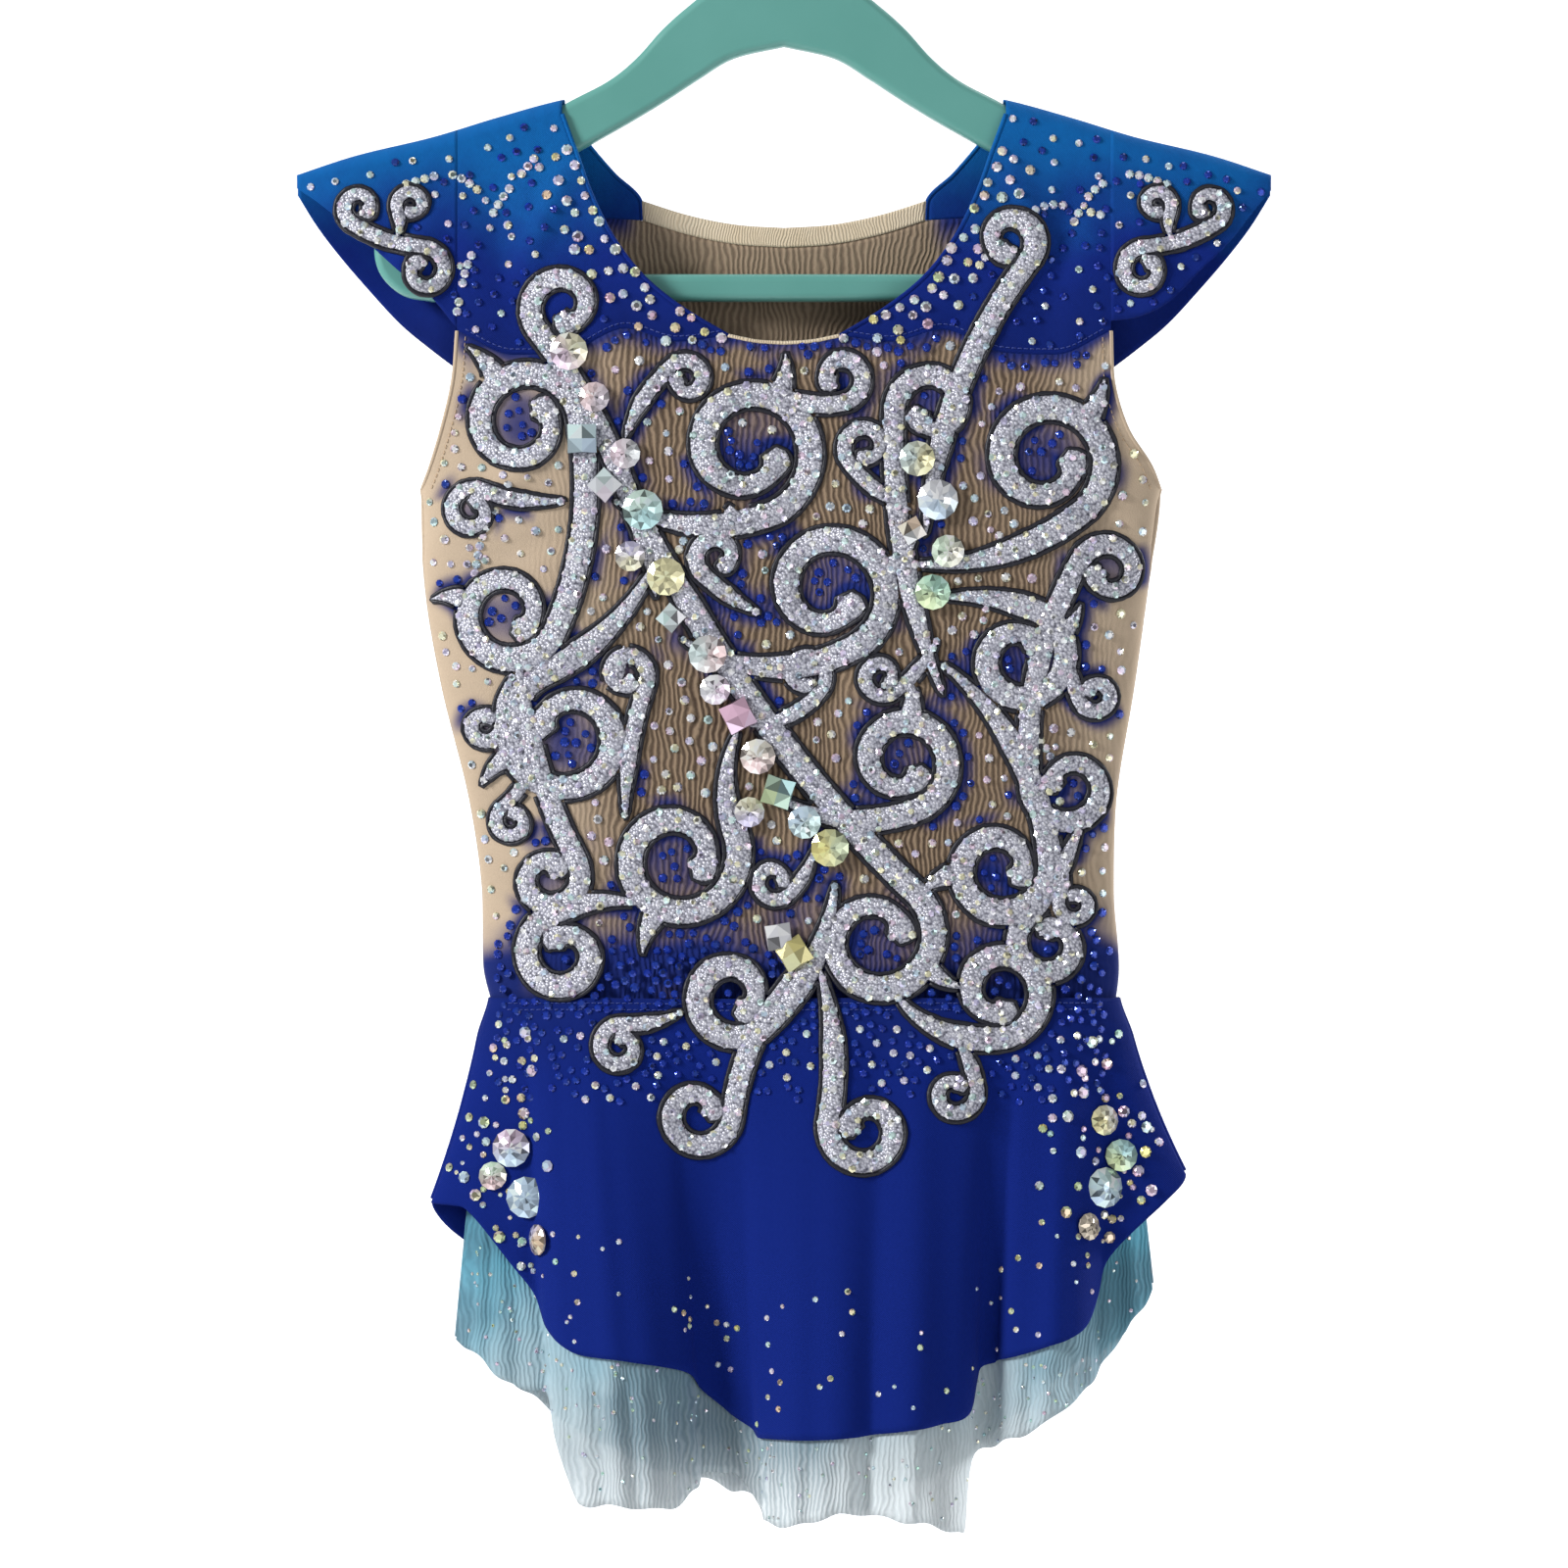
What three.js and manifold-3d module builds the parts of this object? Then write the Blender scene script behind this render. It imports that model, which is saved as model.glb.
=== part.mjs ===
// A girl's rhythmic gymnastics leotard on a moulded plastic hanger.
// Millimetres, +Z up, the wearer's front towards -Y. The origin is the point
// inside the hook where a rod carries the hanger, so the whole part hangs below it.
// Sides are the wearer's: the wearer's right is -X.
import * as THREE from "three";
import { mergeVertices } from "three/addons/utils/BufferGeometryUtils.js";
import Module from "manifold-3d";

const wasm = await Module();
wasm.setup();

// Driving dimensions
const CLOTH = 1.2; // wall of the stretch cloth
const NET = 1.0; // wall of the sheer under-skirt
const SEAM = 0.3; // gap between two pieces that are sewn together
const SHOULDER_R = 5.2; // inner radius of the cloth where it folds over the shoulder
const SETTLE = 45; // below the fold the cloth opens to its full depth over this drop
const BLUNT = 3.2; // the larger, the longer the body's section stays flat towards its sides
const ARMHOLE_X = 128;
const UNDERARM_Z = -257;
const WAIST_Z = -463;
const SKIRT_TOP_Z = -457; // the skirts are laid this far up over the body
const FOLD_Z = -640; // the skirt's folds have the depths of their table at this level
const NECK_FOOT = 22; // the front yokes run along the neck to here
const BAND_HALF = 56; // half the length of the back neck band
const BAND_WIDE = 7.7;
const APPLIQUE = 1.5; // thickness of the scroll applique
const APPLIQUE_GAP = 0.45; // from the cloth to the applique's back
const STONE_HIGH = 3.4;
const CURL_STEP = 40; // degrees from one point of a curl to the next
const CURL_EYE = 0.4; // inner radius of a curl, as a share of its outer one
const STEP_HIGH = 18; // what crosses the skirt's top edge climbs over it in this height
const STEP_SPARE = 4; // and is clear of the edge this far above it
const SKIRT_ROOM = { side: 3.2, depth: 2.5 }; // between the body's waist section and the under-skirt
const SIDE_FLARE = { left: 12, right: 19 }; // the over-skirt's side points stand out this far
const SIDE_POINT_Z = -532;
const YOKE_COLUMNS = 7;

// The body's section at each level: its sides and its half depth.
// Above the underarm the sides run on outwards, so that the armholes stand open.
const bodyLevels = [
  { z: -90, left: -172, right: 172, depth: 8 },
  { z: -150, left: -169, right: 169, depth: 9 },
  { z: -200, left: -163, right: 164, depth: 11.5 },
  { z: UNDERARM_Z, left: -141.5, right: 147, depth: 14 },
  { z: -296, left: -140, right: 142, depth: 14 },
  { z: -334, left: -133.6, right: 136.7, depth: 12.5 },
  { z: -380, left: -122.4, right: 129.4, depth: 11 },
  { z: -415, left: -117.5, right: 128.5, depth: 11 },
  { z: -445, left: -117, right: 130.5, depth: 12 },
  { z: WAIST_Z, left: -112.5, right: 128.5, depth: 13 },
];

// The armholes' edges, from the underarm up to the yokes.
const armhole = [
  { z: -249, left: -138.6, right: 144 },
  { z: -234, left: -134, right: 134.5 },
  { z: -215, left: -129.6, right: 128.8 },
];

// Height of the shoulder's fold line, by distance from the centre.
const shoulderRidge = [
  { x: 0, z: -92 },
  { x: 86, z: -105 },
  { x: 112, z: -112 },
  { x: 137, z: -119.6 },
  { x: 169, z: -127.4 },
  { x: 192, z: -135 },
];

// Neck edges, from the centre foot of each yoke up to the shoulder.
const frontNeck = [
  { x: NECK_FOOT, z: -197.6 },
  { x: 41, z: -186 },
  { x: 55.5, z: -174 },
  { x: 67, z: -159 },
  { x: 75.5, z: -142 },
  { x: 82, z: -124 },
  { x: 87, z: -110.3 },
];
const frontNeckCentre = [
  { x: 0, z: -200.5 },
  { x: 11, z: -199.8 },
  { x: NECK_FOOT, z: -197.6 },
];
const backNeck = [
  { x: BAND_HALF, z: -150.9 },
  { x: BAND_HALF + 0.6, z: -143.2 },
  { x: 67, z: -133 },
  { x: 79, z: -119 },
  { x: 86, z: -110.1 },
];
const bandLine = [
  { x: 0, z: -153.9 },
  { x: 19, z: -152.6 },
  { x: 38, z: -148.8 },
  { x: BAND_HALF, z: -143.2 },
];

// Lower edges of the yokes, by distance from the centre.
const frontYokeEdge = [
  { x: NECK_FOOT, z: -197.6 },
  { x: 42, z: -200 },
  { x: 62, z: -195 },
  { x: 84, z: -204 },
  { x: 106, z: -205 },
  { x: ARMHOLE_X, z: -195.5 },
];
const backYokeEdge = [
  { x: BAND_HALF, z: -150.9 },
  { x: 76, z: -150 },
  { x: 96, z: -160 },
  { x: 112, z: -184 },
  { x: ARMHOLE_X, z: -210.5 },
];

// Stations of a cap sleeve from the armhole to the tip: the heights of its edges,
// its fold's radius and its half depth. The front edge differs on the two sides.
const sleeveStations = [
  { x: 128.3, frontRight: -194.5, frontLeft: -191.5, back: -210, radius: 5.2, depth: 8 },
  { x: 139, frontRight: -181.5, frontLeft: -190, back: -202, radius: 5.2, depth: 9.5 },
  { x: 151, frontRight: -172, frontLeft: -184, back: -192, radius: 5.2, depth: 10.5 },
  { x: 163, frontRight: -161, frontLeft: -172, back: -179, radius: 5, depth: 9.5 },
  { x: 175, frontRight: -151, frontLeft: -160, back: -165, radius: 4.2, depth: 7 },
  { x: 184, frontRight: -144, frontLeft: -148.5, back: -153, radius: 3, depth: 4 },
  { x: 191, frontRight: -139.2, frontLeft: -140, back: -141.6, radius: 1.6, depth: 1.7 },
];

// The skirt's folds from the seam at -X to the one at +X, seen from above at the fold level:
// x across, y forward or back, and the heights of the two hems there.
const frontFolds = [
  { x: -133, y: -0.2, over: -538, under: -592 },
  { x: -121, y: -10, over: -539, under: -598 },
  { x: -103, y: -13, over: -563, under: -609 },
  { x: -91, y: -15, over: -576, under: -612 },
  { x: -88, y: -24, over: -586, under: -628 },
  { x: -80, y: -34, over: -594, under: -652 },
  { x: -62, y: -37.5, over: -597, under: -654 },
  { x: -44, y: -33.5, over: -600, under: -653 },
  { x: -35, y: -24, over: -603, under: -648 },
  { x: -32, y: -14.5, over: -609, under: -643 },
  { x: -21, y: -11.5, over: -618, under: -641 },
  { x: -10, y: -14.5, over: -625, under: -656 },
  { x: -7, y: -25, over: -628, under: -661 },
  { x: 6, y: -36, over: -628, under: -660 },
  { x: 33, y: -40, over: -626, under: -656 },
  { x: 59, y: -36, over: -622, under: -662 },
  { x: 70, y: -26, over: -618, under: -664 },
  { x: 73, y: -16, over: -602, under: -637 },
  { x: 81, y: -14, over: -599, under: -633 },
  { x: 86, y: -23, over: -597, under: -629 },
  { x: 102, y: -31, over: -592, under: -621 },
  { x: 116, y: -27, over: -585, under: -611 },
  { x: 121, y: -18.5, over: -573, under: -604 },
  { x: 124, y: -12, over: -560, under: -600 },
  { x: 140, y: -8.5, over: -538, under: -584 },
  { x: 152, y: -0.2, over: -527, under: -571 },
];
const backFolds = [
  { x: -133, y: 0.2, over: -538, under: -592 },
  { x: -117, y: 11, over: -556, under: -602 },
  { x: -96, y: 24, over: -580, under: -618 },
  { x: -70, y: 31, over: -604, under: -636 },
  { x: -48, y: 18, over: -622, under: -644 },
  { x: -24, y: 17, over: -634, under: -650 },
  { x: 0, y: 31, over: -643, under: -660 },
  { x: 26, y: 33, over: -641, under: -662 },
  { x: 48, y: 18, over: -630, under: -652 },
  { x: 70, y: 17, over: -614, under: -640 },
  { x: 92, y: 29, over: -590, under: -622 },
  { x: 114, y: 26, over: -562, under: -604 },
  { x: 138, y: 11, over: -541, under: -588 },
  { x: 152, y: 0.2, over: -527, under: -571 },
];

// The scrolls on the front, drawn flat as seen from there. Each runs from a first eye to a
// second one, with the radius and the signed turns of the curl at each (anticlockwise is
// positive, and a radius of 0 is a plain pointed end). bend bows the stem, in degrees.
const frontScrolls = [
  { x1: -86, z1: -186, r1: 14, t1: 0.95, x2: -50, z2: -300, r2: 0, t2: 0, bend: 14, wide: 8.5 },
  { x1: -70, z1: -236, r1: 0, t1: 0, x2: 36, z2: -434, r2: 24, t2: -1.15, bend: -12, wide: 10 },
  { x1: -102, z1: -232, r1: 22, t1: -1.15, x2: -108, z2: -306, r2: 20, t2: -1.15, bend: 18, wide: 9.5 },
  { x1: -66, z1: -262, r1: 0, t1: 0, x2: -14, z2: -242, r2: 27, t2: 1.2, bend: -26, wide: 10 },
  { x1: -40, z1: -316, r1: 0, t1: 0, x2: 17, z2: -297, r2: 25, t2: 1.15, bend: -32, wide: 10 },
  { x1: 88, z1: -160, r1: 11, t1: -0.95, x2: 55, z2: -276, r2: 0, t2: 0, bend: -16, wide: 8.5 },
  { x1: 58, z1: -226, r1: 15, t1: 1, x2: 62, z2: -338, r2: 0, t2: 0, bend: -12, wide: 8.5 },
  { x1: 50, z1: -287, r1: 0, t1: 0, x2: 102, z2: -246, r2: 25, t2: 1.2, bend: -22, wide: 10 },
  { x1: 62, z1: -300, r1: 0, t1: 0, x2: 92, z2: -324, r2: 20, t2: -1.15, bend: 14, wide: 9.5 },
  { x1: 127, z1: -290, r1: 12, t1: 1, x2: 112, z2: -374, r2: 16, t2: 1.05, bend: -18, wide: 8.5 },
  { x1: -50, z1: -286, r1: 0, t1: 0, x2: -84, z2: -354, r2: 26, t2: 1.2, bend: 20, wide: 10 },
  { x1: -104, z1: -322, r1: 0, t1: 0, x2: -92, z2: -410, r2: 13, t2: -1.05, bend: -12, wide: 8.5 },
  { x1: -18, z1: -352, r1: 0, t1: 0, x2: -42, z2: -402, r2: 25, t2: -1.2, bend: -24, wide: 10 },
  { x1: -2, z1: -378, r1: 0, t1: 0, x2: 46, z2: -364, r2: 20, t2: 1.15, bend: -28, wide: 9.5 },
  { x1: 62, z1: -326, r1: 0, t1: 0, x2: 84, z2: -406, r2: 20, t2: -1.15, bend: 24, wide: 9.5 },
  { x1: 116, z1: -388, r1: 0, t1: 0, x2: 104, z2: -436, r2: 14, t2: 1, bend: 12, wide: 8.5 },
  { x1: -56, z1: -420, r1: 0, t1: 0, x2: -86, z2: -440, r2: 16, t2: 1.1, bend: -22, wide: 9 },
  { x1: 20, z1: -412, r1: 0, t1: 0, x2: -20, z2: -456, r2: 17, t2: -1.1, bend: 22, wide: 9.5 },
  { x1: 44, z1: -456, r1: 0, t1: 0, x2: 84, z2: -454, r2: 18, t2: 1.1, bend: -34, wide: 9.5 },
  { x1: 14, z1: -446, r1: 0, t1: 0, x2: 32, z2: -508, r2: 15, t2: 1.1, bend: 14, wide: 8.5 },
  { x1: 4, z1: -446, r1: 0, t1: 0, x2: -34, z2: -502, r2: 14, t2: -1.05, bend: -16, wide: 8.5 },
  { x1: 22, z1: -214, r1: 10, t1: -0.9, x2: -6, z2: -216, r2: 0, t2: 0, bend: 30, wide: 7 },
  { x1: -10, z1: -306, r1: 0, t1: 0, x2: -26, z2: -284, r2: 9, t2: -0.9, bend: 10, wide: 6.5 },
  { x1: -62, z1: -386, r1: 0, t1: 0, x2: -62, z2: -330, r2: 9, t2: 1, bend: 10, wide: 6.5 },
];
const sleeveScrolls = [
  { x1: 166, z1: -147, r1: 7, t1: -0.9, x2: 141, z2: -172, r2: 9, t2: 1, bend: 16, wide: 6 },
  { x1: 152, z1: -160, r1: 0, t1: 0, x2: 146, z2: -146, r2: 6, t2: 1, bend: 20, wide: 5 },
];

// Large sew-on stones among the scrolls: centre, radius and number of sides.
const largeStones = [
  { x: -84, z: -204, r: 7.5, sides: 8 },
  { x: -74, z: -222, r: 6, sides: 8 },
  { x: -79, z: -238, r: 8, sides: 4 },
  { x: -62, z: -244, r: 6, sides: 8 },
  { x: -70, z: -256, r: 7, sides: 4 },
  { x: -55, z: -266, r: 8, sides: 8 },
  { x: -60, z: -284, r: 6, sides: 8 },
  { x: -46, z: -292, r: 7.5, sides: 8 },
  { x: -44, z: -308, r: 6, sides: 4 },
  { x: -30, z: -322, r: 7.5, sides: 8 },
  { x: -27, z: -336, r: 6, sides: 8 },
  { x: -18, z: -346, r: 8, sides: 4 },
  { x: -10, z: -362, r: 7, sides: 8 },
  { x: -2, z: -376, r: 8, sides: 4 },
  { x: 8, z: -388, r: 6.5, sides: 8 },
  { x: 18, z: -398, r: 7.5, sides: 8 },
  { x: -14, z: -384, r: 6, sides: 8 },
  { x: 52, z: -246, r: 7, sides: 8 },
  { x: 60, z: -262, r: 8, sides: 8 },
  { x: 50, z: -274, r: 6, sides: 4 },
  { x: 64, z: -282, r: 6.5, sides: 8 },
  { x: 58, z: -298, r: 7, sides: 8 },
  { x: -2, z: -433, r: 7, sides: 4 },
  { x: 4, z: -440, r: 8, sides: 4 },
];

// The brief: half width about its own centre line, and half depth.
const BRIEF_X = 8; // the centre line, which hangs a little to one side as the waist does
const CROTCH_Z = -602;
const CROTCH_R = 8;
const briefLevels = [
  { z: WAIST_Z, half: 120.5, depth: 13 },
  { z: -478, half: 121, depth: 11.2 },
  { z: -492, half: 117, depth: 9.5 },
  { z: -508, half: 95, depth: 8.5 },
  { z: -530, half: 66, depth: 8 },
  { z: -556, half: 43, depth: 8 },
  { z: -580, half: 33, depth: 8 },
  { z: CROTCH_Z, half: 31, depth: 8 },
];

// Half outlines of the hanger: outside from the top of the arch, inside from the arch to the bar.
const HANGER_HALF = 4.5;
const HANGER_EDGE = 3;
const HOOK_R = 17.5;
const HOOK_WIRE = 4;
const hangerOutside = [
  { x: 0, z: -55.4 },
  { x: 14, z: -56.2 },
  { x: 27, z: -60 },
  { x: 38, z: -68 },
  { x: 48, z: -77 },
  { x: 58, z: -88.1 },
  { x: 69, z: -97 },
  { x: 86, z: -106 },
  { x: 112, z: -121 },
  { x: 138, z: -136 },
  { x: 153, z: -147 },
  { x: 160.5, z: -159 },
  { x: 159, z: -172 },
  { x: 150, z: -181 },
  { x: 138, z: -183.6 },
  { x: 0, z: -183.6 },
];
const hangerInside = [
  { x: 0, z: -83.5 },
  { x: 19.6, z: -88.1 },
  { x: 33, z: -96 },
  { x: 46, z: -104.5 },
  { x: 60, z: -113 },
  { x: 75, z: -121.5 },
  { x: 104, z: -138 },
  { x: 130, z: -152 },
  { x: 138, z: -160 },
  { x: 137, z: -169 },
  { x: 128, z: -172.8 },
  { x: 0, z: -172.8 },
];

const point = (x, y, z) => new THREE.Vector3(x, y, z);
const mix = (a, b, share) => a + (b - a) * share;
const radians = (degrees) => (degrees * Math.PI) / 180;
const flatPoint = (angle, radius) =>
  new THREE.Vector2(radius * Math.cos(angle), radius * Math.sin(angle));

function smooth(share) {
  const s = Math.min(1, Math.max(0, share));
  return s * s * (3 - 2 * s);
}

// A smooth curve through the rows of a table, read at one value of its first column.
// It never swings past a row, because each slope is held to three times its chord's.
function read(rows, by, column, at) {
  const sorted = rows[0][by] < rows[rows.length - 1][by] ? rows : [...rows].reverse();
  const last = sorted.length - 1;
  const value = Math.min(sorted[last][by], Math.max(sorted[0][by], at));
  let i = 0;
  while (i < last - 1 && value > sorted[i + 1][by]) i += 1;
  const [a, b] = [sorted[i], sorted[i + 1]];
  const slope = (p, q) => (q[column] - p[column]) / (q[by] - p[by]);
  const chord = slope(a, b);
  const held = (other) => {
    if (other * chord <= 0) return 0;
    return Math.sign(chord) * Math.min(Math.abs(other + chord) / 2, 3 * Math.abs(chord));
  };
  const slopeIn = i > 0 ? held(slope(sorted[i - 1], a)) : chord;
  const slopeOut = i + 2 <= last ? held(slope(b, sorted[i + 2])) : chord;
  const span = b[by] - a[by];
  const t = (value - a[by]) / span;
  return (
    (2 * t ** 3 - 3 * t ** 2 + 1) * a[column] +
    (t ** 3 - 2 * t ** 2 + t) * span * slopeIn +
    (3 * t ** 2 - 2 * t ** 3) * b[column] +
    (t ** 3 - t ** 2) * span * slopeOut
  );
}

// Half depth under a fold line: round at the fold, then opening to the full depth.
function depthBelow(down, radius, full) {
  if (down >= radius) return radius + (full - radius) * smooth((down - radius) / SETTLE);
  return Math.sqrt(Math.max(0, radius ** 2 - (radius - Math.max(0, down)) ** 2));
}

// How far the inside of the cloth stands from the garment's middle plane.
function bodyDepth(x, z) {
  const side = Math.abs(read(bodyLevels, "z", x < 0 ? "left" : "right", z));
  const deep = read(bodyLevels, "z", "depth", z);
  const full = deep * Math.sqrt(1 - Math.min(1, Math.abs(x) / side) ** BLUNT);
  const down = read(shoulderRidge, "x", "z", Math.abs(x)) - z;
  return Math.max(SEAM / 2, depthBelow(down, SHOULDER_R, full));
}

function sleeveDepth(x, down) {
  const near = bodyDepth(ARMHOLE_X, read(shoulderRidge, "x", "z", ARMHOLE_X) - down);
  const radius = read(sleeveStations, "x", "radius", x);
  const own = depthBelow(down, radius, read(sleeveStations, "x", "depth", x));
  return Math.max(SEAM / 2, mix(near, own, smooth((x - ARMHOLE_X) / 16)));
}

// A closed wall on a grid of points. place(u, v) gives a point, u across and v along;
// the wall stands from lift to lift + thickness on the side where across x along points.
function wall(columns, rows, place, thickness, lift = 0) {
  const base = [];
  for (let j = 0; j <= rows; j += 1) {
    for (let i = 0; i <= columns; i += 1) base.push(place(i / columns, j / rows));
  }
  const at = (i, j) => base[j * (columns + 1) + i];
  const normals = base.map((_, index) => {
    const [i, j] = [index % (columns + 1), Math.floor(index / (columns + 1))];
    const across = at(Math.min(columns, i + 1), j).clone().sub(at(Math.max(0, i - 1), j));
    const along = at(i, Math.min(rows, j + 1)).clone().sub(at(i, Math.max(0, j - 1)));
    return across.cross(along).normalize();
  });
  const shifted = (out) => base.map((p, index) => p.clone().addScaledVector(normals[index], out));
  const points = [...shifted(lift), ...shifted(lift + thickness)];
  const count = base.length;
  const faces = [];
  const quad = (a, b, c, d) => faces.push(a, b, c, a, c, d);
  for (let j = 0; j < rows; j += 1) {
    for (let i = 0; i < columns; i += 1) {
      const [a, b] = [j * (columns + 1) + i, j * (columns + 1) + i + 1];
      const [c, d] = [b + columns + 1, a + columns + 1];
      quad(a + count, b + count, c + count, d + count);
      quad(c, b, a, d);
    }
  }
  const rim = [];
  for (let i = 0; i <= columns; i += 1) rim.push(i);
  for (let j = 1; j <= rows; j += 1) rim.push(j * (columns + 1) + columns);
  for (let i = columns - 1; i >= 0; i -= 1) rim.push(rows * (columns + 1) + i);
  for (let j = rows - 1; j >= 1; j -= 1) rim.push(j * (columns + 1));
  rim.forEach((from, index) => {
    const to = rim[(index + 1) % rim.length];
    quad(from, to, to + count, from + count);
  });
  const geometry = new THREE.BufferGeometry();
  const flat = points.flatMap((p) => [p.x, p.y, p.z]);
  geometry.setAttribute("position", new THREE.Float32BufferAttribute(flat, 3));
  geometry.setIndex(faces);
  geometry.computeVertexNormals();
  return geometry;
}

// A four-sided patch between its edges: lower and upper run from the left edge to the right one.
function patch(lower, upper, left, right) {
  const [p00, p10, p01, p11] = [lower(0), lower(1), upper(0), upper(1)];
  const blend = (axis, u, v) =>
    mix(lower(u)[axis], upper(u)[axis], v) +
    mix(left(v)[axis], right(v)[axis], u) -
    mix(mix(p00[axis], p10[axis], u), mix(p01[axis], p11[axis], u), v);
  return (u, v) => ({ x: blend("x", u, v), z: blend("z", u, v) });
}

// A curve through the rows of a table, read by its share of length.
function along(rows) {
  const points = rows.map((row) => point(row.x, 0, row.z));
  const curve = new THREE.CatmullRomCurve3(points, false, "centripetal");
  return (share) => curve.getPointAt(share);
}

// Columns stand closer together towards the armhole and the side seams.
const spread = (share) => 1 - (1 - share) ** 1.6;

// Columns across the whole body, closer together towards both side seams.
function sideSpread(share) {
  const half = spread(Math.abs(2 * share - 1));
  return share < 0.5 ? (1 - half) / 2 : (1 + half) / 2;
}

function yokeFoot(rows, share) {
  const x = mix(rows[0].x, ARMHOLE_X - SEAM / 2, spread(share));
  return { x, z: read(rows, "x", "z", x) };
}

function shoulderLine(rows, share, down) {
  const neck = rows[rows.length - 1];
  const x = mix(neck.x, ARMHOLE_X - SEAM / 2, spread(share));
  return { x, z: read(shoulderRidge, "x", "z", x) - down };
}

// One shoulder yoke, from its lower edge up to the fold line.
function yoke(side, hand) {
  const [neck, foot] = side < 0 ? [frontNeck, frontYokeEdge] : [backNeck, backYokeEdge];
  const neckEdge = along([...neck.slice(0, -1), shoulderLine(neck, 0, SHOULDER_R)]);
  const flat = patch(
    (u) => yokeFoot(foot, u),
    (u) => shoulderLine(neck, u, SHOULDER_R),
    neckEdge,
    (v) => {
      const [low, high] = [yokeFoot(foot, 1), shoulderLine(neck, 1, SHOULDER_R)];
      return { x: low.x, z: mix(low.z, high.z, v) };
    },
  );
  const arcRows = 3;
  const flatRows = 6;
  const rows = flatRows + arcRows;
  return wall(
    YOKE_COLUMNS,
    rows,
    (across, up) => {
      const u = side * hand > 0 ? 1 - across : across;
      const row = Math.round(up * rows);
      const turn = radians((90 * (row - flatRows)) / arcRows);
      const spot =
        row <= flatRows
          ? flat(u, row / flatRows)
          : shoulderLine(neck, u, SHOULDER_R * (1 - Math.sin(turn)));
      return point(hand * spot.x, side * bodyDepth(hand * spot.x, spot.z), spot.z);
    },
    CLOTH,
  );
}

// A body panel from the waist seam up to its top edge, around the armholes.
function bodyPanel(side, top, columns) {
  const rows = 13;
  const waist = bodyLevels[bodyLevels.length - 1];
  const sideSeam = bodyLevels.filter((row) => row.z <= UNDERARM_Z).reverse();
  const edge = (name, corner) =>
    along([...[...sideSeam, ...armhole].map((row) => ({ x: row[name], z: row.z })), corner]);
  const shape = patch(
    (u) => ({ x: mix(waist.left, waist.right, sideSpread(u)), z: WAIST_Z }),
    top,
    edge("left", top(0)),
    edge("right", top(1)),
  );
  return wall(
    columns,
    rows,
    (across, up) => {
      const spot = shape(side < 0 ? across : 1 - across, up);
      return point(spot.x, side * bodyDepth(spot.x, spot.z), spot.z);
    },
    CLOTH,
  );
}

// The top edge of a body panel: yoke, centre, yoke, a seam's gap below them.
function panelTop(foot, centreColumns, centreEdge) {
  const columns = 2 * YOKE_COLUMNS + centreColumns;
  const start = foot[0].x;
  return (share) => {
    const column = share * columns;
    const fromSide = Math.min(column, columns - column);
    const hand = share < 0.5 ? -1 : 1;
    if (fromSide <= YOKE_COLUMNS) {
      const spot = yokeFoot(foot, 1 - fromSide / YOKE_COLUMNS);
      return { x: hand * spot.x, z: spot.z - SEAM };
    }
    const x = mix(-start, start, (column - YOKE_COLUMNS) / centreColumns);
    return { x, z: centreEdge(Math.abs(x)) - SEAM };
  };
}

function frontBody() {
  const centre = 4;
  const top = panelTop(frontYokeEdge, centre, (x) => read(frontNeckCentre, "x", "z", x));
  return bodyPanel(-1, top, 2 * YOKE_COLUMNS + centre);
}

function backBody() {
  const centre = 8;
  const top = panelTop(backYokeEdge, centre, (x) => read(bandLine, "x", "z", x) - BAND_WIDE);
  return bodyPanel(1, top, 2 * YOKE_COLUMNS + centre);
}

function neckBand() {
  return wall(
    8,
    2,
    (across, up) => {
      const x = mix(BAND_HALF - SEAM, SEAM - BAND_HALF, across);
      const z = read(bandLine, "x", "z", Math.abs(x)) - BAND_WIDE * (1 - up);
      return point(x, bodyDepth(x, z), z);
    },
    CLOTH,
  );
}

// A cap sleeve: each station is an upturned U that opens downwards.
function sleeve(hand) {
  const front = hand < 0 ? "frontRight" : "frontLeft";
  const legRows = 4;
  const arcRows = 3;
  const half = legRows + arcRows;
  const last = sleeveStations.length - 1;
  return wall(
    last,
    2 * half,
    (share, round) => {
      const station = sleeveStations[Math.round((hand > 0 ? share : 1 - share) * last)];
      const row = Math.round(round * 2 * half);
      const fromEdge = Math.min(row, 2 * half - row);
      const side = row <= half ? -1 : 1;
      const fold = read(shoulderRidge, "x", "z", station.x);
      const low = fold - (side < 0 ? station[front] : station.back);
      const leg = mix(low, Math.min(low, station.radius), fromEdge / legRows);
      const turn = radians((90 * (fromEdge - legRows)) / arcRows);
      const down = fromEdge <= legRows ? leg : Math.min(low, station.radius) * (1 - Math.sin(turn));
      return point(hand * station.x, side * sleeveDepth(station.x, down), fold - down);
    },
    CLOTH,
  );
}

// The skirt's fold table with each row's share of the cloth's width.
function withShares(rows) {
  const lengths = rows.map((row, index) => {
    const before = rows[Math.max(0, index - 1)];
    return Math.hypot(row.x - before.x, row.y - before.y);
  });
  const total = lengths.reduce((sum, length) => sum + length, 0);
  let done = 0;
  return rows.map((row, index) => {
    done += lengths[index];
    return { ...row, share: done / total };
  });
}
const folds = { "-1": withShares(frontFolds), 1: withShares(backFolds) };

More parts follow.
